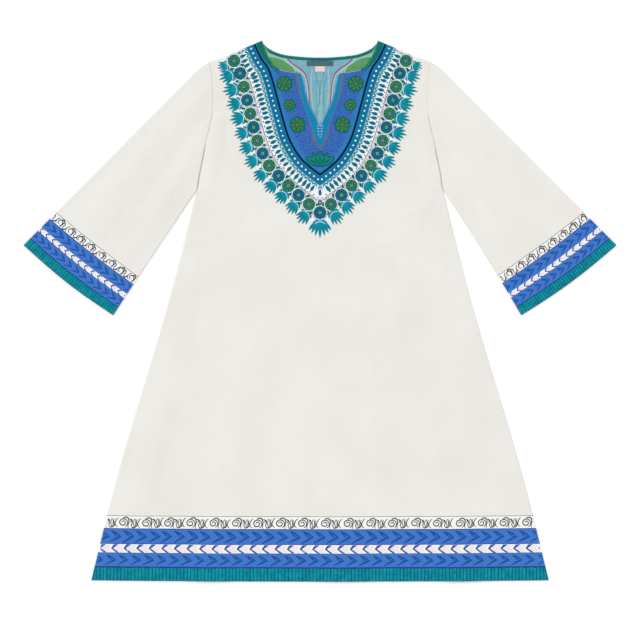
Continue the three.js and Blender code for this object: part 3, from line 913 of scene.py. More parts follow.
for cloth in (frontCloth, backCloth, *sleeves.values()):
    outwards(cloth)
bindingGreen = bindingMaterial("bindingGreen", "#0B7A50", "#086660")
bindingTeal = bindingMaterial("bindingTeal", "#0A7868", "#086E6A", "#12608E")
facingBlue = bindingMaterial("facingBlue", "#1488B2", "#167CB0")
labelGreen = wovenLabelMaterial("labelGreen", "#3C6A5C", "#2F5A55", 0.55)
labelWhite = wovenLabelMaterial("labelWhite", "#E9D9DA", "#DFC9CB", 0.6)
neckTrims = {
    "bindingBack": backBinding(bindingTeal),
    "bindingRight": frontBinding("neckBindingRight", 1, bindingGreen),
    "bindingLeft": frontBinding("neckBindingLeft", -1, bindingGreen),
    "slitStrip": slitFacing(facingBlue),
}
mainTop = backNeckRows[0][1] + trims["backWidth"] + labelSizes["gap"]
sizeTop = mainTop + labelSizes["main"][1] - labelSizes["overlap"]
labelPieces = {
    "mainLabel": labelPiece("mainLabel", labelSizes["main"], mainTop, 0.55, 0.10, labelGreen),
    "sizeLabel": labelPiece("sizeLabel", labelSizes["size"], sizeTop, 0.25, 0.0, labelWhite),
}
print("trims and labels made")


# Every figure is made of brush strokes and closed outlines, in mm.
partStep = 0.005  # each part of a figure lies a little over the one before
# How high the levels of the yoke's print lie above the cloth, in mm.
heights = {
    "ground": 0.08, "low": 0.12, "band": 0.15, "shape": 0.22, "halo": 0.30, "core": 0.37, "detail": 0.44,
}


def brush(path, widths, steps=0):
    # a stroke along a path, its widths spread over the length
    path = np.asarray(path, float)
    if steps:
        path = spline(path, np.linspace(0, 1, steps))
    count = len(path)
    width = np.interp(np.linspace(0, 1, count), np.linspace(0, 1, len(widths)), widths)
    along = np.gradient(path, axis=0)
    along /= np.maximum(np.linalg.norm(along, axis=1, keepdims=True), 1e-9)
    across = np.stack([-along[:, 1], along[:, 0]], -1) * np.maximum(width, 0.06)[:, None] / 2
    faces = [[count + k, count + k + 1, k + 1, k] for k in range(count - 1)]
    return np.concatenate([path + across, path - across]), faces


def outline(points, steps=0):
    points = np.asarray(points, float)
    if steps:
        ring = np.concatenate([points[-2:], points, points[:3]])
        points = spline(ring, np.linspace(2, 2 + len(points), steps, endpoint=False) / (len(ring) - 1))
    x, y = points[:, 0], points[:, 1]
    if np.sum(x * np.roll(y, -1) - y * np.roll(x, -1)) < 0:
        points = points[::-1]
    return points, [list(range(len(points)))]


def disc(x, y, radius, sides=14, squash=1.0, turn=0.0):
    a = np.linspace(0, 2 * math.pi, sides, endpoint=False)
    px, py = radius * np.cos(a), radius * squash * np.sin(a)
    return outline(np.stack([x + px * math.cos(turn) - py * math.sin(turn),
                             y + px * math.sin(turn) + py * math.cos(turn)], -1))


def leaf(base, tip, width, bend=0.0, belly=0.5, steps=8):
    # a pointed leaf, widest at the belly and bent to its left
    base, tip = np.asarray(base, float), np.asarray(tip, float)
    t = np.linspace(0, 1, steps)
    side = np.array([-(tip - base)[1], (tip - base)[0]])
    path = base + (tip - base) * t[:, None] + side * (bend * np.sin(math.pi * t))[:, None]
    power = math.log(0.5) / math.log(belly)
    return brush(path, width * np.sin(math.pi * t**power) ** 0.8)


def jagged(radiusX, radiusY, teeth, depth, steps=72, lean=0.0, squareness=2.0):
    # a closed figure with teeth round it, from an ellipse to nearly a square
    a = np.linspace(0, 2 * math.pi, steps, endpoint=False)
    c, s = np.cos(a), np.sin(a)
    r = (np.abs(c / radiusX) ** squareness + np.abs(s / radiusY) ** squareness) ** (-1 / squareness)
    r = r * (1 + depth * np.sin(a * teeth + lean) * (0.6 + 0.4 * np.sin(3 * a + 1)))
    return outline(np.stack([r * c, r * s], -1))


def levelOf(lift):
    # the height of a level by its name, or a height given as it is
    return heights.get(lift, lift)


def figure(*parts):
    # parts are (ink, level or height, shape)
    return [(ink, levelOf(lift) + k * partStep, *shape) for k, (ink, lift, shape) in enumerate(parts)]


def grown(drawn, size, raised=0.0):
    return [(ink, lift + raised, points * size, faces) for ink, lift, points, faces in drawn]


def inksOf(drawn):
    return list(dict.fromkeys(part[0] for part in drawn))


def flatMesh(name, parts, z, press=1.0):
    # one flat mesh with the height of each point above the cloth kept in an attribute
    vertices, faces, lifts, start = [], [], [], 0
    for _, lift, points, shape in parts:
        vertices.append(points)
        faces += [[start + k for k in face] for face in shape]
        lifts.append(np.broadcast_to(np.asarray(lift, float) * press, (len(points),)))
        start += len(points)
    flat = np.concatenate(vertices)
    made = meshObject(name, np.concatenate([flat, np.full((len(flat), 1), z)], 1), faces, None, False)
    made.data.attributes.new("lift", "FLOAT", "POINT").data.foreach_set("value", np.concatenate(lifts))
    return made


def groupTree(name, inputs):
    tree = bpy.data.node_groups.new(name, "GeometryNodeTree")
    tree.interface.new_socket("Geometry", in_out="INPUT", socket_type="NodeSocketGeometry")
    for label, kind in inputs:
        tree.interface.new_socket(label, in_out="INPUT", socket_type="NodeSocket" + kind)
    tree.interface.new_socket("Geometry", in_out="OUTPUT", socket_type="NodeSocketGeometry")
    return tree, tree.nodes.new("NodeGroupInput").outputs, tree.nodes.new("NodeGroupOutput").inputs[0]


def namedValue(tree, name):
    made = node(tree, "GeometryNodeInputNamedAttribute", {"Name": name}, data_type="FLOAT")
    return made.outputs["Attribute"]


def vector(tree, x=0.0, y=0.0, z=0.0):
    return node(tree, "ShaderNodeCombineXYZ", {0: x, 1: y, 2: z}).outputs[0]


def scaled(tree, first, size):
    return node(tree, "ShaderNodeVectorMath", {0: first, "Scale": size}, operation="SCALE").outputs[0]


def added(tree, first, second):
    return node(tree, "ShaderNodeVectorMath", {0: first, 1: second}, operation="ADD").outputs[0]


def makeLayTree():
    # drops every point along the ray to the cloth, and lifts it off by its own height
    tree, given, result = groupTree("layOnCloth", [("Cloth", "Object"), ("Ray", "Vector")])
    cloth = node(tree, "GeometryNodeObjectInfo", {"Object": given["Cloth"]})
    spot = node(tree, "GeometryNodeInputPosition").outputs[0]
    cast = node(tree, "GeometryNodeRaycast", {
        "Target Geometry": cloth.outputs["Geometry"],
        "Source Position": added(tree, spot, scaled(tree, given["Ray"], -layers["castFrom"])),
        "Ray Direction": given["Ray"], "Ray Length": 2 * layers["castFrom"],
    })
    landed = node(tree, "GeometryNodeSwitch", {
        "Switch": cast.outputs["Is Hit"], "False": spot, "True": cast.outputs["Hit Position"],
    }, input_type="VECTOR")
    height = math2(tree, "ADD", namedValue(tree, "lift"), namedValue(tree, "rise"))
    offset = scaled(tree, given["Ray"], math2(tree, "MULTIPLY", height, -mm))
    final = added(tree, landed.outputs[0], offset)
    laid = node(tree, "GeometryNodeSetPosition", {"Geometry": given["Geometry"], "Position": final})
    upwards = node(tree, "ShaderNodeSeparateXYZ", {0: given["Ray"]}).outputs[2]
    turned = node(tree, "GeometryNodeFlipFaces", {
        "Mesh": laid.outputs[0], "Selection": math2(tree, "GREATER_THAN", upwards, 0.0)})
    tree.links.new(turned.outputs[0], result)
    return tree


layTree = makeLayTree()
commonInputs = [("Cloth", "Object"), ("Ray", "Vector"), ("Ink", "Material")]
figureStep = 0.011  # mm between the heights of neighbouring figures
speckDensity = 4e5  # tries for each square metre, before the gap thins them out


def finishTree(tree, given, result, geometry):
    lay = node(tree, "GeometryNodeGroup", node_tree=layTree)
    for name, source in (("Geometry", geometry), ("Cloth", given["Cloth"]), ("Ray", given["Ray"])):
        tree.links.new(source, lay.inputs[name])
    real = node(tree, "GeometryNodeRealizeInstances", {0: lay.outputs[0]}).outputs[0]
    inked = node(tree, "GeometryNodeSetMaterial", {"Geometry": real, "Material": given["Ink"]})
    tree.links.new(inked.outputs[0], result)
    return tree


def instanced(tree, given, points, rotation, scale):
    # the figure on every point; near figures differ a little in height, so that no two faces share a plane
    motif = node(tree, "GeometryNodeObjectInfo", {"Object": given["Motif"], "As Instance": True})
    index = node(tree, "GeometryNodeInputIndex").outputs[0]
    rise = math2(tree, "MULTIPLY", math2(tree, "MODULO", index, 4.0), figureStep)
    kept = node(tree, "GeometryNodeStoreNamedAttribute", {
        "Geometry": points, "Name": "rise", "Value": rise,
    }, data_type="FLOAT", domain="POINT").outputs[0]
    placed = node(tree, "GeometryNodeInstanceOnPoints", {
        "Points": kept, "Instance": motif.outputs["Geometry"], "Rotation": rotation, "Scale": scale})
    return node(tree, "GeometryNodeRealizeInstances", {0: placed.outputs[0]}).outputs[0]


def makeGroundTree():
    tree, given, result = groupTree("printGround", commonInputs)
    return finishTree(tree, given, result, given["Geometry"])


def makeMotifTree():
    # one figure on each point, turned, sized and mirrored by the point's own values
    tree, given, result = groupTree("printMotifs", commonInputs + [("Motif", "Object")])
    size, flip = namedValue(tree, "size"), namedValue(tree, "flip")
    rotation = vector(tree, z=namedValue(tree, "turn"))
    scale = vector(tree, math2(tree, "MULTIPLY", size, flip), size, 1.0)
    real = instanced(tree, given, given["Geometry"], rotation, scale)
    flipped = node(tree, "GeometryNodeFlipFaces", {
        "Mesh": real, "Selection": math2(tree, "LESS_THAN", namedValue(tree, "flip"), 0.0)}).outputs[0]
    return finishTree(tree, given, result, flipped)


def randomValue(tree, given, shift, low=-1.0, high=1.0):
    values = {"Min": low, "Max": high, "Seed": math2(tree, "ADD", given["Seed"], float(shift))}
    return node(tree, "FunctionNodeRandomValue", values, data_type="FLOAT").outputs["Value"]


def makeAlongTree():
    # a count of figures along a path, each turned with it, a little uneven
    floats = [(name, "Float") for name in ("Jitter", "Spread", "Sway")]
    tree, given, result = groupTree("printAlong", [
        *commonInputs, ("Motif", "Object"), ("Count", "Int"), *floats, ("Seed", "Int")])
    jitter, sway, spread = (
        math2(tree, "MULTIPLY", randomValue(tree, given, shift), given[name])
        for shift, name in ((1, "Jitter"), (2, "Sway"), (3, "Spread")))
    curve = node(tree, "GeometryNodeMeshToCurve", {"Mesh": given["Geometry"]}).outputs[0]
    points = node(tree, "GeometryNodeCurveToPoints", {"Curve": curve, "Count": given["Count"]}, mode="COUNT")
    tangent = points.outputs["Tangent"]
    moved = node(tree, "GeometryNodeSetPosition", {
        "Geometry": points.outputs[0], "Offset": scaled(tree, tangent, jitter)}).outputs[0]
    facing = node(tree, "FunctionNodeAlignRotationToVector", {"Vector": tangent}, axis="X", pivot_axis="Z")
    swayed = node(tree, "FunctionNodeRotateRotation", {
        0: facing.outputs[0], 1: vector(tree, z=sway)}, rotation_space="LOCAL").outputs[0]
    size = math2(tree, "ADD", spread, 1.0)
    real = instanced(tree, given, moved, swayed, vector(tree, size, size, 1.0))
    return finishTree(tree, given, result, real)


def makeSpeckTree():
    # figures strewn over a ground, no two nearer than the gap
    tree, given, result = groupTree("printSpecks", [
        *commonInputs, ("Motif", "Object"), ("Gap", "Float"), ("Density", "Float"), ("Seed", "Int")])
    strewn = node(tree, "GeometryNodeDistributePointsOnFaces", {
        "Mesh": given["Geometry"], "Distance Min": given["Gap"], "Density Max": given["Density"],
        "Seed": given["Seed"],
    }, distribute_method="POISSON").outputs[0]
    rotation = vector(tree, z=randomValue(tree, given, 1, 0.0, 6.28))
    size = randomValue(tree, given, 2, 0.7, 1.25)
    real = instanced(tree, given, strewn, rotation, vector(tree, size, size, 1.0))
    return finishTree(tree, given, result, real)


shoulderBends = [0.3, 0.6, 1.0, 1.5, 2.1, 2.8, 3.6, 5.0]  # mm inside the shoulder's edge
printTrees = {
    "ground": makeGroundTree(), "motifs": makeMotifTree(),
    "along": makeAlongTree(), "specks": makeSpeckTree(),
}
fromAbove, fromBelow = (0.0, 0.0, -1.0), (0.0, 0.0, 1.0)
prints = {}  # for each part of the dress and each ink, the laid meshes


def runTree(kind, source, ink, cloth, ray, values):
    tree = printTrees[kind]
    modifier = source.modifiers.new("print", "NODES")
    modifier.node_group = tree
    values = {"Cloth": cloth, "Ray": ray, "Ink": ink, **values}
    for item in tree.interface.items_tree:
        if item.in_out == "INPUT" and item.name in values:
            modifier[item.identifier] = values[item.name]
    source.update_tag()
    graph = bpy.context.evaluated_depsgraph_get()
    made = bpy.data.meshes.new_from_object(source.evaluated_get(graph))
    source.modifiers.remove(modifier)
    return made


def discard(item):
    data = item.data
    bpy.data.objects.remove(item)
    bpy.data.meshes.remove(data)


def keepPrint(part, ink, made):
    prints.setdefault((part, ink), []).append(made)


def shoulderAway():
    # the way out of the right shoulder's edge
    along = (armhole[-1] - frontNeck[-1]) / np.linalg.norm(armhole[-1] - frontNeck[-1])
    return np.array([-along[1], along[0]])


def clearOfShoulders(line, inside):
    # the stretch of a line that lies at least this far inside the shoulders' edges
    rightSide = np.stack([np.abs(line[:, 0]), line[:, 1]], -1)
    return line[(frontNeck[-1] - rightSide) @ shoulderAway() > inside]


def shoulderPlane(inside):
    # planes across both shoulders, at a distance inside their edges
    away = shoulderAway()
    spot = (frontNeck[-1] - away * inside) * mm
    return [((side * spot[0], spot[1], 0.0), (side * away[0], away[1], 0.0)) for side in (1, -1)]


def cutMesh(data, planes, clear):
    # edges where planes cross the mesh, and nothing left beyond them if they clear
    work = bmesh.new()
    work.from_mesh(data)
    for spot, away in planes:
        bmesh.ops.bisect_plane(work, geom=work.verts[:] + work.edges[:] + work.faces[:], dist=1e-7,
                               plane_co=spot, plane_no=away, clear_outer=clear)
    work.to_mesh(data)
    work.free()


def startHeight(part, ray):
    if ray is fromBelow:
        return layers["underStart"]
    return layers["insideStart"] if part == "back" else layers["frontStart"]


def printGround(part, parts, ray=fromAbove):
    # grounds and lines drawn where they lie; they bend with the roll of the shoulders
    for ink in inksOf(parts):
        source = flatMesh("ground", [p for p in parts if p[0] == ink], startHeight(part, ray))
        if part == "front":
            cutMesh(source.data, [cut for inside in shoulderBends for cut in shoulderPlane(inside)], False)
        keepPrint(part, ink, runTree("ground", source, inkMaterial(ink), cloths[part], ray, {}))
        discard(source)


def printFigures(part, kind, makeSource, drawn, ray, **values):
    # the same figure many times, ink by ink; those underneath lie closer to the cloth
    for ink in inksOf(drawn):
        motif = flatMesh("motif", [p for p in drawn if p[0] == ink], 0.0, 1.0 if ray is fromAbove else 0.5)
        source = makeSource(startHeight(part, ray))
        made = runTree(kind, source, inkMaterial(ink), cloths[part], ray, {"Motif": motif, **values})
        keepPrint(part, ink, made)
        discard(source)
        discard(motif)


def printAt(part, places, drawn, mirror=True):
    # places are (half or x, drop, turn in degrees, size)
    rows = [(x, d, turn, size, 1.0) for x, d, turn, size in places]
    if mirror:
        rows += [(-x, d, -turn, size, -1.0) for x, d, turn, size in places]
    rows = np.array(rows)

    def makeSource(z):
        spots = np.concatenate([place(rows[:, :2]), np.full((len(rows), 1), z)], 1)
        source = meshObject("spots", spots, [], None, False)
        for name, values in (("turn", np.radians(rows[:, 2])), ("size", rows[:, 3]), ("flip", rows[:, 4])):
            source.data.attributes.new(name, "FLOAT", "POINT").data.foreach_set("value", values)
        return source

    printFigures(part, "motifs", makeSource, drawn, fromAbove)


def printAlong(part, path, count, drawn, jitter=0.0, spread=0.0, sway=0.0, seed=1, ray=fromAbove):
    # path is in true x and y
    path = np.asarray(path, float)

    def makeSource(z):
        data = bpy.data.meshes.new("path")
        flat = np.concatenate([path, np.full((len(path), 1), z)], 1) * mm
        data.from_pydata(flat.tolist(), [(k, k + 1) for k in range(len(path) - 1)], [])
        source = bpy.data.objects.new("path", data)
        bpy.context.scene.collection.objects.link(source)
        return source

    looks = {"Jitter": jitter * mm, "Spread": spread, "Sway": sway, "Seed": seed}
    printFigures(part, "along", makeSource, drawn, ray, Count=int(count), **looks)


def printSpecks(part, ground, drawn, gap, seed):
    source = partial(flatMesh, "specked", ground)
    printFigures(part, "specks", source, drawn, fromAbove, Gap=gap * mm, Density=speckDensity, Seed=seed)


def strip(inner, outer, columns):
    # a ground between two lines with the same number of points
    t = np.linspace(0, 1, columns)[None, :, None]
    grid = np.asarray(inner)[:, None] * (1 - t) + np.asarray(outer)[:, None] * t
    points = grid.reshape(-1, 2)
    faces = gridQuads(grid.shape[0], columns)
    a, b, c = points[faces[len(faces) // 2][:3]]
    if (b - a)[0] * (c - b)[1] - (b - a)[1] * (c - b)[0] < 0:
        faces = faces[:, ::-1]
    return points, faces.tolist()


def mirrored(shape):
    points, faces = shape
    return points * [-1, 1], [face[::-1] for face in faces]


def bothSides(*rows):
    # rows are (ink, level or height, shape on the right side)
    return [
        (ink, levelOf(lift), *drawn) for ink, lift, shape in rows for drawn in (shape, mirrored(shape))]


cloths = {
    "front": frontCloth, "back": backCloth, "sleeveRight": sleeves["Right"], "sleeveLeft": sleeves["Left"],
    **neckTrims, **labelPieces,
}


def chevron(size, tall):
    # an arrow of a full leaf and a thin one that meet on the right, 20 mm long at size 1
    half = tall / 2 / size
    upper = leaf((-9.5, half), (10.0, -0.4), 6.4, -0.05, 0.6, 10)
    low = [(-11.5, -half), (-6.5, -half * 0.72), (1.0, -half * 0.3), (10.0, -0.2)]
    lower = brush(low, [0.9, 2.4, 3.0, 1.4], 9)
    inner = leaf((-1.5, half * 0.5), (7.0, 0.4), 2.6, -0.05, 0.6, 7)
    edges = [brush([(-9.8, half), (0.5, half * 0.66), (10.6, -0.4)], [0.6, 1.0, 0.7], 8),
             brush([(-11.5, -half), (-2.5, -half * 0.62), (10.6, -0.6)], [0.5, 0.9, 0.6], 8)]
    shapes = [("hemChevron", 0.12, upper), ("hemChevron", 0.12, lower), ("hemTeal", 0.18, inner)]
    return grown(figure(*shapes, *(("hemNavy", 0.17, edge) for edge in edges)), size)


def whiteArrow(size):
    # the blue gap between two broad white arrows that point left, and a blush in the arrow
    gap = outline([(0, 0), (10.1, 7.5), (2.0, 7.5), (-3.2, 0.4), (6.6, -7.5), (11.4, -7.5)])
    blush = outline([(3.2, 0), (11.0, 5.6), (19.4, 5.8), (16.6, 0.3), (21.2, -5.8), (12.0, -5.8)], 24)
    return grown(figure(
        ("hemWhite", 0.12, blush), ("hemBlue", 0.16, gap),
        ("hemNavy", 0.20, brush([(-0.4, 0.1), (5.0, 4.0), (10.2, 7.4)], [1.3, 0.9, 0.7], 5)),
        ("hemNavy", 0.20, brush([(-0.4, 0.0), (5.2, -3.6), (11.0, -7.4)], [1.2, 0.9, 0.8], 5)),
        ("hemNavy", 0.20, brush([(-3.2, 0.4), (1.6, -3.4), (6.6, -7.4)], [0.5, 0.7, 0.5], 5))), size)


def scrollFigure(size, tall=1.0, heavy=1.0, turns=3.0, fine=True):
    # a spiral with a tail, curled leaves beside it and a curve that runs on to the next one, 40 mm long
    a = np.linspace(-0.35, turns, 30) * math.pi
    r = np.linspace(8.6, 2.0 if fine else 4.6, 30)
    spiral = np.stack([-11.2 + r * np.cos(a), -0.6 + r * 0.86 * np.sin(a)], -1)
    strokes = [
        (0, [1.0, 1.5, 1.7, 1.6, 1.2], spiral[::-1]),
        (18, [1.2, 1.9, 1.7, 1.3, 1.0], [
            (-11.5, 7.0), (-6.0, 8.2), (-2.2, 6.0), (-1.4, 0.0), (-2.6, -4.6), (-1.6, -8.6)]),
        (18, [1.4, 2.0, 1.8, 1.3, 0.8], [
            (4.2, -7.6), (8.4, -7.2), (12.4, -4.4), (14.4, 1.2), (17.4, 6.2), (20.0, 7.0)]),
        (16, [1.0, 1.9, 1.4, 1.5, 0.9], [(-1.0, 5.8), (3.4, 4.6), (4.6, 0.4), (3.0, -3.2), (4.6, -7.8)]),
        (7, [1.2, 1.2, 0.5], [(14.0, -2.2), (15.6, -5.6), (18.4, -7.4)]),
    ]
    if fine:
        strokes += [
            (8, [0.8, 1.3, 0.5], [(0.2, 0.8), (2.6, 2.4), (1.2, 5.6)]),
            (16, [1.3, 1.2, 0.8, 1.2, 1.3], [(8.0, -6.0), (6.4, 0.0), (8.6, 6.6), (10.6, 1.4), (9.8, -4.8)]),
            (8, [0.6, 1.3, 1.2], [(13.0, 6.4), (11.4, 1.6), (13.2, -3.2)]),
        ]
    shapes = [brush(path, np.multiply(widths, heavy), steps) for steps, widths, path in strokes]
    return grown(figure(*(("scrollInk", 0.14, shape) for shape in shapes)), np.array([size, size * tall]))


def rib(width, length):
    # a rounded ridge across the edge strip
    cross = np.array([-0.5, -0.32, 0.0, 0.32, 0.5]) * width
    crest = np.array([0.03, 0.24, 0.34, 0.24, 0.03])
    ends = [-length / 2, -length / 2 + 0.7, 0.0, length / 2 - 0.7, length / 2]
    squeeze = [0.55, 1.0, 1.0, 1.0, 0.55]
    points = np.array([(x * s, y) for y, s in zip(ends, squeeze) for x in cross])
    lifts = np.concatenate([crest * low for low in (0.35, 1.0, 1.0, 1.0, 0.35)])
    return [("ribInk", lifts, points, gridQuads(5, 5).tolist())]


borderRows = {
    # height above the edge, count and figure
    "hem": {
        "ribs": (12.4, 130, rib(4.9, 23.4)),
        "lowChevrons": (38.4, 36, chevron(0.9, 19.0)),
        "arrows": (59.6, 36, whiteArrow(1.0)),
        "highChevrons": (81.8, 35, chevron(1.0, 22.5)),
        "scrolls": (107.6, 20, scrollFigure(1.05, 1.08, 1.1)),
    },
    "cuff": {
        "ribs": (8.8, 39, rib(4.15, 16.2)),
        "lowChevrons": (27.4, 13, chevron(0.68, 13.4)),
        "arrows": (42.0, 14, whiteArrow(0.6)),
        "highChevrons": (57.3, 12, chevron(0.74, 15.0)),
        "scrolls": (76.0, 9, scrollFigure(0.64, 1.28, 1.55, 1.5, False)),
    },
}


def hemLine(fromHem, inset=0.0):
    # a line across the dress at a height above the hem, following the hem's bow
    t = 1 - fromHem / (dress["length"] - dress["underarmDrop"])
    x = np.linspace(-1, 1, 61)
    half = skirtHalf(t)
    drop = dress["length"] - fromHem - dress["hemLift"] * t * np.abs(x) ** 2
    return place(np.stack([x * (half - inset), drop], -1))


def cuffLine(shape, fromCuff, inset=0.0):
    # a line across a sleeve from its left end to its right, at a distance from the cuff
    upper, run, out, width = cuffFrame(shape)
    along = np.linspace(0.6, 1, 60)
    ends = []
    for across in (0.0, 1.0):
        edge = sleevePoint(shape, along, across)
        away = fromCuffEdge(shape, edge)
        ends.append(np.interp(fromCuff, away[::-1], ((edge - upper) @ run)[::-1]))
    s = np.linspace(ends[0] + inset, ends[1] - inset, 41)
    bow = sleeveShape["cuffBow"] * np.sin(math.pi * np.clip(s / width, 0, 1))
    line = upper + run * s[:, None] + out * (bow - fromCuff * (1 + bow / sleeveShape["bowFades"]))[:, None]
    return line[::-1] if shape["side"] > 0 else line * [-1, 1]


def printBorder(part, rows, lineAt, ray=fromAbove):
    for seed, (name, (height, count, drawn)) in enumerate(rows.items()):
        line = lineAt(height)
        pitch = lineLength(line) / count
        inset = pitch * (0.5 if name == "ribs" else 0.1)
        line = lineAt(height, inset)
        loose = {"ribs": (0.35, 0.05, 0.02), "arrows": (0.35, 0.02, 0.0)}.get(name, (0.9, 0.05, 0.05))
        printAlong(part, line, count, drawn, *loose, seed=seed + 3, ray=ray)


printBorder("front", borderRows["hem"], hemLine)
printBorder("back", borderRows["hem"], hemLine, fromBelow)
for name, shape in sleeveSides.items():
    for ray in (fromAbove, fromBelow):
        printBorder("sleeve" + name, borderRows["cuff"], partial(cuffLine, shape), ray)
print("borders printed")

# The dark line that the yoke is drawn round, from the shoulder to the point, as half and drop.
yokeLineRows = [
    (124.5, -1.0), (121.5, 6.0), (109.0, 32.5), (96.0, 51.5), (87.5, 75.0), (77.5, 112.0), (66.5, 152.5),
    (56.5, 183.0), (40.5, 211.0), (26.0, 227.5), (0.0, 248.0),
]
# The edge of the white ground under the fringe.
yokeEdgeRows = [
    (184.0, 26.0), (178.0, 36.0), (172.0, 50.0), (165.0, 66.0), (161.0, 84.0), (154.0, 112.0), (143.0, 165.0),
    (129.0, 206.0), (118.0, 234.0), (103.0, 253.0), (85.0, 270.0), (62.0, 291.0), (37.0, 308.0),
    (20.5, 326.0), (11.0, 343.0), (0.0, 350.0),
]
yokeSteps = 110
# The line that the fringe of leaves stands on.
fringeRows = [
    (188.0, 10.0), (180.0, 27.0), (171.0, 46.0), (162.0, 64.0), (156.0, 84.0), (150.5, 108.0), (144.5, 132.0),
    (137.5, 162.0), (131.0, 186.0), (122.5, 207.0), (112.5, 230.0), (99.0, 248.0), (82.5, 265.0),
    (61.0, 286.0), (40.0, 305.0), (20.0, 322.0), (0.0, 336.0),
]


def bandLine(rows, away, steps=yokeSteps):
    # the line at a distance outside the rows' line, on the right side, ending on the centre line
    path = spaced(spline(place(rows), np.linspace(0, 1, 160)), steps)
    along = np.gradient(path, axis=0)
    along /= np.linalg.norm(along, axis=1, keepdims=True)
    along[-1] = along[-2]
    line = path + np.stack([-along[:, 1], along[:, 0]], -1) * away
    kept = line[line[:, 0] > 0.0]
    last, before = kept[-1], kept[-2]
    slope = (last - before) / np.linalg.norm(last - before)
    tip = last + slope * (last[0] / -slope[0]) if last[0] > 1e-6 else last
    return spaced(np.concatenate([kept, [tip]]) if last[0] > 1e-6 else kept, steps)


def yokeLine(away, steps=yokeSteps):
    return bandLine(yokeLineRows, away, steps)


def yokeBand(first, last, columns):
    return strip(yokeLine(first), yokeLine(last), columns)


def wholeLine(half):
    # both halves, from the right shoulder round the point to the left shoulder
    return np.concatenate([half, (half * [-1, 1])[-2::-1]])


neckIn = spline(frontNeck, np.linspace(0, 1, 90))
neckAway = np.gradient(neckIn, axis=0)
neckAway = np.stack([neckAway[:, 1], -neckAway[:, 0]], -1) / np.linalg.norm(neckAway, axis=1, keepdims=True)
neckEdge = neckIn + neckAway * 0.5
neckEdge[:, 0] = np.maximum(neckEdge[:, 0], 0.0)

edgeLine = spaced(spline(place(yokeEdgeRows), np.linspace(0, 1, 200)), yokeSteps)
printGround("front", bothSides(
    ("pinkWhite", "ground", strip(yokeLine(1.0), edgeLine, 14)),
    ("cyanWhite", heights["ground"] + 0.02, yokeBand(17.0, 27.0, 3)),
    ("bandInk", "band", yokeBand(1.2, 16.6, 5)),
    ("lineInk", heights["halo"] + 0.03, yokeBand(16.2, 17.4, 2)),
    ("plateInk", "ground", strip(yokeLine(-6.5, 90)[::-1], neckEdge, 16)),
    ("midBlue", "band", yokeBand(-11.5, -8.0, 3)),
    ("rimInk", heights["band"] + partStep, yokeBand(-8.2, -1.0, 4)),
    ("navyInk", "shape", yokeBand(-1.7, 1.7, 3)),
    ("thinTeal", "shape", brush((neckEdge + neckAway * 0.4)[26:66], [0.9, 1.1, 0.9])),
))


def yokeRow(away, pitch, odd, drawn, inside=3.5, **looks):
    # an odd count has a figure on the centre line; the row keeps inside the shoulders
    line = clearOfShoulders(wholeLine(yokeLine(away)), inside)
    count = int(round(lineLength(line) / pitch / 2)) * 2
    printAlong("front", line, count + 1 if odd else count, drawn, **looks)


dot = figure(("whiteInk", "halo", disc(0, 0, 1.65, 12)))
yokeRow(9.2, 9.5, False, dot, jitter=0.3, spread=0.12, seed=21)
budHead = brush([(0, 5.2), (0.2, 9.0), (0.1, 13.4), (0, 17.8)], [1.5, 3.8, 6.0, 6.6, 5.6, 1.6], 14)
bud = figure(
    ("dropInk", "low", brush([(0, -0.8), (0.1, 3.0), (0, 6.4)], [3.6, 1.5, 1.7], 8)),
    ("dropInk", "low", budHead),
    ("tealDark", "shape", brush([(0.2, 6.0), (0.8, 11.0), (0.4, 15.4)], [0.4, 1.2, 0.5], 7)),
    *(("dropInk", "low", leaf((1.6 * side, -0.6), (4.5 * side, 5.6), 2.4)) for side in (-1, 1)),
)
yokeRow(17.6, 9.0, True, bud, jitter=0.35, spread=0.06, sway=0.06, seed=22)

smallDot = figure(("dropInk", "low", disc(0, 0, 1.5, 9)))
yokeRow(36.4, 9.4, False, smallDot, 36.0, spread=0.1, seed=28)
scallopLine = [(-3.1, 1.6), (-2.0, -0.5), (0, -1.2), (2.0, -0.5), (3.1, 1.6)]
scallop = figure(
    ("inkLine", "low", brush(scallopLine, [0.8, 1.1, 0.8], 9)), ("tealInk", "low", disc(0, 1.5, 1.0, 8)))
yokeRow(40.6, 6.1, True, scallop, 42.0, seed=23)


# A running vine of round flowers, with a fringe of leaves outside it.
vine = {"inside": 14.4, "fromShoulder": 15.0, "flowers": 27, "bend": 13.6, "stem": 1.5, "size": 1.07}


def flower(core, petalInk, eye, ringed=True, petals=8):
    # a scalloped ground, petals with veins between them, and an eye with seeds; 11 mm to its edge
    turns = np.arange(petals) * 2 * math.pi / petals + 0.2

    def rays(ink, level, near, far, wide, shift=0.0):
        ways = np.stack([np.cos(turns + shift), np.sin(turns + shift)], -1)
        return [(ink, level, leaf(way * near, way * far, wide, 0.06, 0.55, 7)) for way in ways]

    rings = [("inkLine", "band", jagged(13.0, 13.0, petals, 0.03, 56)),
             ("whiteInk", "shape", jagged(12.2, 12.2, petals, 0.03, 56))]
    ground = [("deepGreen", heights["band"] + 0.045, jagged(12.0, 12.0, petals, 0.06, 64))]
    return figure(
        *(rings if ringed else ground),
        (core, "halo", jagged(11.0, 11.0, petals, 0.05, 56)),
        *rays(petalInk, "core", 2.6, 10.0, 4.6),
        *rays("inkLine", "detail", 3.6, 10.4, 1.3, math.pi / petals),
        *rays("inkLine", "detail", 4.0, 8.6, 0.8),
        ("inkLine", heights["detail"] + 0.02, disc(0, 0, 3.7, 14)),
        (eye, heights["detail"] + 0.03, disc(0, 0, 3.1, 12)),
        *(("yellowInk", heights["detail"] + 0.06, disc(2.0 * math.cos(a), 2.0 * math.sin(a), 0.7, 6))
          for a in turns[::2]),
    )


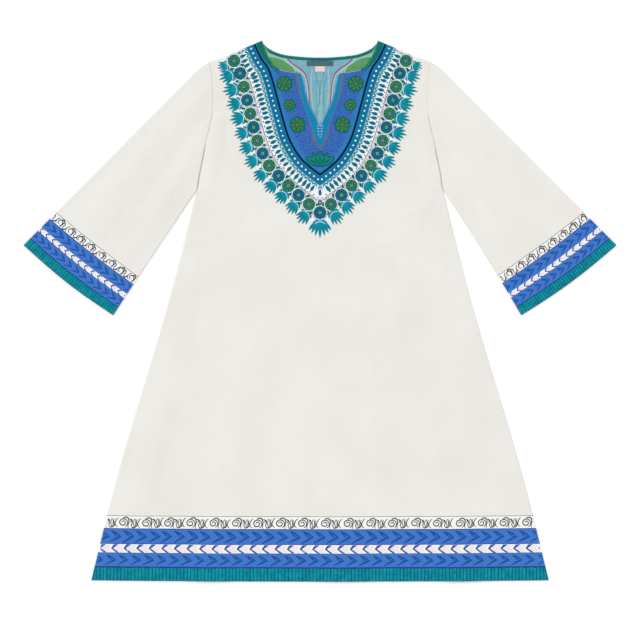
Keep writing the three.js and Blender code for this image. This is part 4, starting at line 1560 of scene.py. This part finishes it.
def palmette(leaves, spread, reach, wide):
    # leaves that fan out (up) from a collar, with a vein in each
    middle = (leaves - 1) / 2
    foot = [(-11.6, 3.6), (-8.0, -0.6), (0, -2.4), (8.0, -0.6), (11.6, 3.6)]
    parts = [("tealInk", "shape", brush(foot, [2.0, 4.2, 5.0, 4.2, 2.0], 18))]
    widths = np.array([0.5, 0.75, 1.0, 0.95, 0.6, 0.08]) * wide
    for k in range(leaves):
        a = math.radians(spread * (k - middle))
        ray, foot = np.array([math.sin(a), math.cos(a)]), np.array([2.5 * (k - middle), 0.0])
        way = ray * reach * (1 - 0.12 * abs(k - middle))
        parts.append(("tealInk", "shape", brush([foot, foot + way * 0.5, foot + way], widths, 12)))
        parts.append(("tealDark", "halo", brush([foot + ray * 6, foot + way * 0.8], [0.4, 1.0, 0.3], 5)))
    collar = [(-8.4, 2.6), (-4.4, 0.2), (0, -0.6), (4.4, 0.2), (8.4, 2.6)]
    return figure(*parts, ("whiteInk", "core", brush(collar, [0.4, 1.0, 0.8, 1.0, 0.4], 14)))


flowerLine = clearOfShoulders(wholeLine(bandLine(fringeRows, -vine["inside"])), vine["fromShoulder"])
flowerLine = spaced(flowerLine, 20 * (vine["flowers"] - 1) + 1)
bends = np.linspace(0, vine["flowers"] - 1, len(flowerLine))
outward = np.gradient(flowerLine, axis=0)
outward = np.stack([-outward[:, 1], outward[:, 0]], -1) / np.linalg.norm(outward, axis=1, keepdims=True)
stem = flowerLine + outward * (vine["bend"] * np.cos(math.pi * bends))[:, None]
stemWidths = [vine["stem"], vine["stem"] * 0.8] * 20
printGround("front", [("tealDark", heights["band"] + 0.03, *brush(stem, stemWidths))])
blueCount = vine["flowers"] // 2
for count, line, raised, drawn in (
        (blueCount + 1, flowerLine, 0.0, flower("jadeInk", "roundGreen", "violetInk")),
        (blueCount, flowerLine[20:-20], 0.0055, flower("roundBlue", "bandInk", "roundGreen"))):
    printAlong("front", line, count, grown(drawn, vine["size"], raised), spread=0.04, sway=0.6, seed=count)
sprig = figure(*(
    part for side in (-1, 1) for part in (
        ("deepGreen", "shape", leaf((-1.0 * side, 6.4 * side), (3.4 * side, 13.6 * side), 4.4, 0.1)),
        ("greenInk", "halo", leaf((0.0, 8.0 * side), (2.6 * side, 12.4 * side), 1.8, 0.1, 0.5, 6)))))
printAlong("front", flowerLine[10:-10], 2 * blueCount, sprig, spread=0.1, sway=0.1, seed=26)

fringe = bandLine(fringeRows, 0.0, 120)
fringe = fringe[fringe[:, 1] < place((0.0, 60.0))[1]][:-9]
leafFan = palmette(5, 11.5, 25.5, 5.3)
for k, line in enumerate((fringe, fringe[::-1] * [-1, 1])):
    printAlong("front", line, 12, leafFan, spread=0.04, sway=0.05, seed=27 + k)
printAt("front", [(172.0, 45.0, -112, 0.74)], leafFan)
printAt("front", [(0.0, 336.0, 180, 1.16)], palmette(7, 13.0, 25.5, 5.2), mirror=False)
lozenge, lozengeFace = outline([(0, 8.5), (4.6, 0), (0, -8.5), (-4.6, 0)])
drops = figure(
    ("inkLine", "shape", (lozenge, lozengeFace)), ("jadeInk", "halo", (lozenge * 0.72, lozengeFace)),
    ("whiteInk", "core", disc(0, 0, 1.1, 8)))
printAt("front", [(0.0, 300.0, 0, 0.9)], drops, mirror=False)

# The plate inside the dark line.
speck = figure(("speckInk", "band", leaf((-1.4, 0), (1.4, 0), 2.0, 0.12, 0.5, 6)))
speckGround = strip(yokeLine(-11.0, 90)[::-1], neckEdge + neckAway * 5, 16)
printSpecks("front", bothSides(("plateInk", "band", speckGround)), speck, 4.9, 5)
plateFlower = flower("greenInk", "roundGreen", "deepGreen", False)
printAt("front", [(66.0, 80.0, 10, 1.22), (56.0, 119.5, 40, 0.9), (41.5, 156.0, 70, 1.22)], plateFlower)


def lotusPetal(x, y, wide):
    lines = [("fanLine", "detail", leaf((x * 0.5 + s, -1.0), (x * 0.72 + t, y * 0.4), 0.9, 0.1, 0.5, 6))
             for s, t in ((-2.4, -2.2), (2.4, 2.2))]
    return [
        ("deepGreen", "shape", leaf((x * 0.12, -15.5), (x, y), wide, 0.0, 0.58, 14)),
        ("jadeInk", "halo", leaf((x * 0.16, -13.5), (x * 0.95, y * 0.9 - 0.6), wide - 2.0, 0.0, 0.58, 14)),
        ("deepGreen", "core", leaf((x * 0.2, -11.0), (x * 0.78, y * 0.7 - 1.0), 1.5, 0.0, 0.5, 8)), *lines]


lotusPetals = [(-27, 4, 12.0), (27, 4, 12.0), (-14, 12, 12.5), (14, 12, 12.5), (0, 16, 13.5)]
lotus = figure(*(part for petal in lotusPetals for part in lotusPetal(*petal)))
printAt("front", [(0.0, 219.0, 0, 1.0)], lotus, mirror=False)

chainRows = [
    (43.5, 59.5), (42.0, 72.0), (39.6, 85.5), (33.6, 107.0), (24.4, 130.0), (17.0, 153.0), (10.5, 184.0),
    (0.0, 201.5),
]
chainLine = spaced(spline(place(chainRows), np.linspace(0, 1, 90)), 70)
printGround("front", bothSides(("greyInk", "shape", brush(chainLine, [4.2, 4.8, 5.2, 4.8, 3.8]))))
link = figure(
    ("brownInk", "core", disc(0.4, 0.9, 1.3, 9, 0.8)), ("midBlue", "core", disc(-1.2, -1.0, 0.8, 7)))
for seed, line in enumerate((chainLine[:-1], (chainLine * [-1, 1])[:-1])):
    printAlong("front", line, 46, link, jitter=0.6, spread=0.25, sway=1.5, seed=31 + seed)

# Stitches on the strip and the bindings, and the labels' woven edges.
dash = figure(("whiteInk", 0.14, brush([(-1.0, 0.0), (1.0, 0.2)], [0.8, 1.2, 0.8], 4)))
printAt("slitStrip", [
    (3.2, 158.0, -18, 1.0), (3.4, 163.2, -18, 1.0), (3.4, 168.6, -10, 1.0), (3.0, 174.0, -4, 1.0)], dash)
printAt("slitStrip", [(0.4, 178.8, 0, 1.1)], dash, mirror=False)
printGround("slitStrip", bothSides(
    ("stitchBlue", 0.12, brush(place([(0.9, 161.4), (1.2, 168.0), (1.4, 175.5)]), [0.5, 0.8, 0.4], 8)),
    ("stitchBlue", 0.12, brush(place([(4.8, 150.0), (5.6, 158.0), (5.4, 166.0)]), [0.4, 0.7, 0.3], 8))))


def stitch(colour):
    return figure((colour, 0.12, brush([(-0.95, 0.0), (0.95, 0.0)], [0.4, 0.6, 0.4], 4)))


blueStitch, paleStitch = stitch("stitchBlue"), stitch("stitchPale")
facingLines = np.array(facingRows)[1:]
for side in (1, -1):
    for edge, inside in ((0, 1.2), (1, -1.2)):
        rows = facingLines[2:] if edge == 0 else facingLines
        rows = np.stack([rows[:, edge] + inside, rows[:, 2]], -1)
        line = spaced(spline(place(rows), np.linspace(0, 1, 60)), 60)
        printAlong("slitStrip", line * [side, 1], 34, blueStitch, seed=41)
backRun = spline(backNeck, np.linspace(0, trims["backTo"] * 0.97, 60))
backRun = np.concatenate([(backRun * [-1, 1])[:0:-1], backRun])
printAlong("bindingBack", backRun - [0, 1.1], 62, paleStitch, jitter=0.2, sway=0.04, seed=43)
frontRun = spline(frontNeck, np.linspace(trims["frontFrom"] + 0.03, trims["frontTo"] - 0.02, 40))
frontRun = frontRun + squareTo(frontRun) * 1.3
for side, name in ((1, "bindingRight"), (-1, "bindingLeft")):
    printAlong(name, frontRun * [side, 1], 20, paleStitch, jitter=0.2, seed=44)
for seed, x in ((45, -24.2), (46, 24.2)):
    printAlong("mainLabel", place([(x, mainTop + 0.8), (x, mainTop + 8.8)]), 5, paleStitch, seed=seed)
labelFrame = place([(x, sizeTop + down) for x, down in ((-9.4, 0.7), (9.4, 0.7), (9.4, 11.4), (-9.4, 11.4))])
printGround("sizeLabel", [
    ("labelEdge", 0.06, *brush([labelFrame[k - 1], labelFrame[k]], [0.7, 0.7], 6)) for k in (1, 2, 3, 0)])
print("yoke printed")


def insideLine(rows, widths, steps):
    return brush(place(rows), widths, steps)


# The print that shows inside the back neck.
insideLow = [
    (0.0, 182.0), (18.0, 168.0), (40.0, 140.0), (60.0, 100.0), (84.0, 66.0), (106.0, 34.0), (118.0, 12.0)]
insideLow = spline(place(insideLow), np.linspace(0, 1, 60))
insideTop = spline(backNeck, np.linspace(0, 1, 60)) - [0, 0.4]
limeLine = [
    (104.0, 19.0), (98.5, 24.0), (81.5, 27.0), (66.5, 33.0), (57.5, 41.5), (44.0, 52.5), (36.0, 60.0),
    (60.0, 68.0), (84.0, 58.0), (100.0, 38.0),
]
limeShape = [
    (96.0, 32.0), (84.0, 31.5), (72.0, 35.0), (60.0, 42.5), (50.0, 50.5), (48.0, 62.0), (70.0, 66.0),
    (92.0, 48.0),
]
redRows = [
    (60.5, 34.0), (50.0, 43.5), (37.0, 52.0), (28.0, 61.0), (24.0, 72.0), (21.5, 87.5), (20.0, 102.5),
    (19.5, 122.0),
]
whiteRows = [
    (66.5, 31.0), (55.5, 42.5), (43.0, 52.0), (32.0, 61.0), (26.5, 70.0), (24.0, 84.0), (22.5, 99.5),
    (22.0, 118.0),
]
thinLines = [
    ([1.0, 1.3, 0.9], [
        (-9.0, 57.5), (-5.5, 70.0), (-2.0, 85.5), (-1.5, 99.5), (-1.5, 114.5), (-4.5, 126.5), (-7.0, 140.0)]),
    ([1.0, 1.2, 0.8], [(9.0, 57.5), (4.0, 71.0), (1.0, 85.5), (0.8, 99.5)]),
    ([0.6, 0.9, 0.5], [(13.5, 62.0), (8.0, 84.0), (6.5, 110.0), (8.5, 134.0)]),
]
printGround("back", bothSides(
    ("paleTeal", 0.10, strip(insideLow, insideTop, 12)),
    ("limePale", 0.17, outline(place(limeLine), 60)),
    ("limeInk", 0.23, outline(place(limeShape), 48)),
    ("whiteSoft", 0.29, insideLine(whiteRows, [2.2, 2.0, 1.8], 40)),
    ("redInk", 0.35, insideLine(redRows, [2.2, 2.0, 1.6], 40)),
) + [("thinTeal", 0.30, *insideLine(rows, widths, 30)) for widths, rows in thinLines])
streaks = [
    ("paleMiddle", [1.5, 4.0, 3.0, 1.0], [(14.5, 52.0), (17.0, 76.0), (15.5, 104.0), (11.0, 138.0)]),
    ("paleMiddle", [0.8, 2.4, 2.0, 3.4], [(3.5, 62.0), (3.0, 90.0), (2.0, 118.0), (1.5, 150.0)]),
    ("tealMiddle", [1.0, 2.4, 1.6, 0.6], [(22.0, 46.0), (20.0, 62.0), (19.0, 84.0), (18.0, 100.0)]),
    ("tealMiddle", [0.8, 2.6, 1.0], [(8.5, 66.0), (7.0, 92.0), (5.0, 120.0)]),
]
printGround("back", bothSides(*(
    (ink, 0.13 + 0.01 * k, insideLine(rows, widths, 24)) for k, (ink, widths, rows) in enumerate(streaks))))
speckLow = place([(0.0, 176.0), (16.0, 150.0), (22.0, 100.0), (28.0, 66.0), (48.0, 46.0)])
speckTop = place([(0.0, 38.0), (8.0, 38.0), (22.0, 38.0), (34.0, 38.0), (46.0, 38.0)])
innerGround = bothSides(("paleTeal", 0.10, strip(speckLow, speckTop, 6)))
paleSpeck = figure(("paleMiddle", 0.176, leaf((-0.75, 0), (0.75, 0), 0.85, 0.1, 0.5, 4)))
tealSpeck = figure(("tealMiddle", 0.1705, leaf((-0.7, 0), (0.7, 0), 0.8, 0.1, 0.5, 4)))
printSpecks("back", innerGround, paleSpeck, 2.0, 8)
printSpecks("back", innerGround, tealSpeck, 2.4, 9)
print("inside of the neck printed")

# The finished prints are one piece for each ink on each part.
film = 0.1  # how thick the prints are, in mm
cutInside = {"shoulder": 0.3, "body": 1.6, "sleeve": 1.2}  # how far inside each edge they stop, in mm


def edgePlane(top, foot, inside, side=1):
    # a plane along a side edge, from its top to its foot on the right side, facing out
    along = (foot - top) / np.linalg.norm(foot - top)
    away = np.array([-along[1], along[0]])
    spot = (foot - away * inside) * mm
    return (side * spot[0], spot[1], 0.0), (side * away[0], away[1], 0.0)


def sideCuts(part):
    # planes that keep the border prints inside the side edges
    if part in ("front", "back"):
        drop = dress["underarmDrop"] + 0.8 * (dress["length"] - dress["underarmDrop"])
        top, foot = place((skirtHalf(0.8), drop)), place((skirtHalf(1.0), dress["length"]))
        return [edgePlane(top, foot, cutInside["body"], side) for side in (1, -1)]
    if part.startswith("sleeve"):
        shape = sleeveSides[part[6:]]
        fold, seam = [[sleevePoint(shape, along, across) for along in (0.75, 1.0)] for across in (0.0, 1.0)]
        return [edgePlane(*ends, cutInside["sleeve"], shape["side"]) for ends in (fold, seam[::-1])]
    return []


def bakeMesh(item):
    # the modifiers' result as a plain mesh in a fresh object
    graph = bpy.context.evaluated_depsgraph_get()
    made = bpy.data.meshes.new_from_object(item.evaluated_get(graph))
    fresh = bpy.data.objects.new(item.name + "_made", made)
    bpy.context.scene.collection.objects.link(fresh)
    name = item.name
    discard(item)
    fresh.name = name
    fresh.data.name = name
    return fresh


def finishPrint(part, ink, meshes):
    work = bmesh.new()
    for made in meshes:
        work.from_mesh(made)
        bpy.data.meshes.remove(made)
    data = bpy.data.meshes.new(part + "Print_" + ink)
    work.to_mesh(data)
    work.free()
    shoulders = shoulderPlane(cutInside["shoulder"]) if part == "front" else []
    cutMesh(data, shoulders + sideCuts(part), True)
    for name in ("lift", "rise", "turn", "size", "flip"):
        if name in data.attributes:
            data.attributes.remove(data.attributes[name])
    data.materials.clear()
    data.materials.append(inkMaterial(ink))
    made = bpy.data.objects.new(data.name, data)
    bpy.context.scene.collection.objects.link(made)
    thicken = made.modifiers.new("film", "SOLIDIFY")
    thicken.thickness, thicken.offset = film * mm, -1.0
    made = bakeMesh(made)
    made.data.polygons.foreach_set("use_smooth", [False] * len(made.data.polygons))
    return made


printPieces = {}
for (part, ink), meshes in prints.items():
    printPieces.setdefault(part, []).append(finishPrint(part, ink, meshes))
print("prints finished")

view = {"width": 1184.0, "centreX": 0.0, "centreDrop": 517.1, "lens": 85.0, "sensor": 36.0}
studio = {
    "floor": "#FAFAFA", "floorHalf": 20000.0, "ambient": 0.80,
    "key": 1.1, "keySoftness": 34.0, "keyFrom": (-0.55, 0.75, 1.35),
}


def addCamera():
    data = bpy.data.cameras.new("camera")
    data.lens, data.sensor_width = view["lens"], view["sensor"]
    made = bpy.data.objects.new("camera", data)
    height = view["width"] / 2 / (view["sensor"] / 2 / view["lens"])
    spot = place((view["centreX"], view["centreDrop"]))
    made.location = (spot[0] * mm, spot[1] * mm, (height + layers["frontTop"]) * mm)
    data.clip_start, data.clip_end = 0.05, 60.0
    bpy.context.scene.collection.objects.link(made)
    bpy.context.scene.camera = made


def addKey():
    # one even, soft light from the upper left
    data = bpy.data.lights.new("key", "SUN")
    data.energy, data.angle = studio["key"], math.radians(studio["keySoftness"])
    made = bpy.data.objects.new("key", data)
    made.location = studio["keyFrom"]
    made.rotation_mode = "QUATERNION"
    made.rotation_quaternion = Vector(studio["keyFrom"]).to_track_quat("Z", "Y")
    bpy.context.scene.collection.objects.link(made)


def addStudio():
    floorMaterial, _, shader = newMaterial("floor")
    setShader(shader, 0.9, 0.1, **{"Base Color": linear(studio["floor"])})
    corners = np.array([(-1, -1, 0), (1, -1, 0), (1, 1, 0), (-1, 1, 0)]) * studio["floorHalf"]
    floor = meshObject("floor", corners, [(0, 1, 2, 3)], floorMaterial, False)
    world = bpy.data.worlds.new("studio")
    world.use_nodes = True
    background = world.node_tree.nodes["Background"]
    background.inputs[0].default_value = (1.0, 1.0, 1.0, 1.0)
    background.inputs[1].default_value = studio["ambient"]
    bpy.context.scene.world = world
    addKey()
    bpy.context.scene.view_settings.view_transform = "Standard"


addCamera()
addStudio()

# For each part: the CAD's node, the slot and what it rests on.
stands = {
    "front": ("front_panel", "cotton", "backCloth"),
    "back": ("back_panel", "cotton", "floor"),
    "sleeveRight": ("sleeve_right", "cotton", "floor"),
    "sleeveLeft": ("sleeve_left", "cotton", "floor"),
    "bindingBack": ("neck_binding_back", "binding", "backCloth"),
    "bindingRight": ("neck_binding_right", "binding", "frontCloth"),
    "bindingLeft": ("neck_binding_left", "binding", "frontCloth"),
    "slitStrip": ("slit_facing", "facing", "frontCloth"),
    "mainLabel": ("main_label", "label_green", "backCloth"),
    "sizeLabel": ("size_label", "label_white", "backCloth"),
}
# Cut sizes of the narrow pieces, in mm, with what is folded in.
smallCuts = {
    "bindingBack": (10.0, 230.0), "bindingRight": (13.0, 52.0), "bindingLeft": (13.0, 52.0),
    "slitStrip": (14.0, 276.0), "mainLabel": (50.0, 10.0), "sizeLabel": (20.0, 12.0),
}


def skinArea(piece):
    # half the skin of a thin wall, in square metres
    return sum(face.area for face in piece.data.polygons) / 2


def cutSize(part):
    # the width and length that the piece was cut to, in metres; a sleeve opens out to twice its width
    if part in smallCuts:
        return tuple(size * mm for size in smallCuts[part])
    if part.startswith("sleeve"):
        shape = sleeveSides[part[6:]]
        length = np.linalg.norm(upperFold(np.ones(1))[0] - armhole[-1])
        wide = np.linalg.norm(sleevePoint(shape, 0.0, 0.0) - sleevePoint(shape, 0.0, 1.0))
        return (2 * wide * mm, length * mm)
    return (2 * dress["hemHalf"] * mm, dress["length"] * mm)


for part, (cad, slot, under) in stands.items():
    piece = cloths[part]
    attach(piece, "root")
    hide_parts(cad)
    laid = printPieces.get(part, [])
    for flatPrint in laid:
        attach(flatPrint, "root")
    flat, area = cutSize(part), skinArea(piece)
    area = min(area, flat[0] * flat[1])
    print(part, "cut", [round(float(v), 5) for v in (*flat, area)])
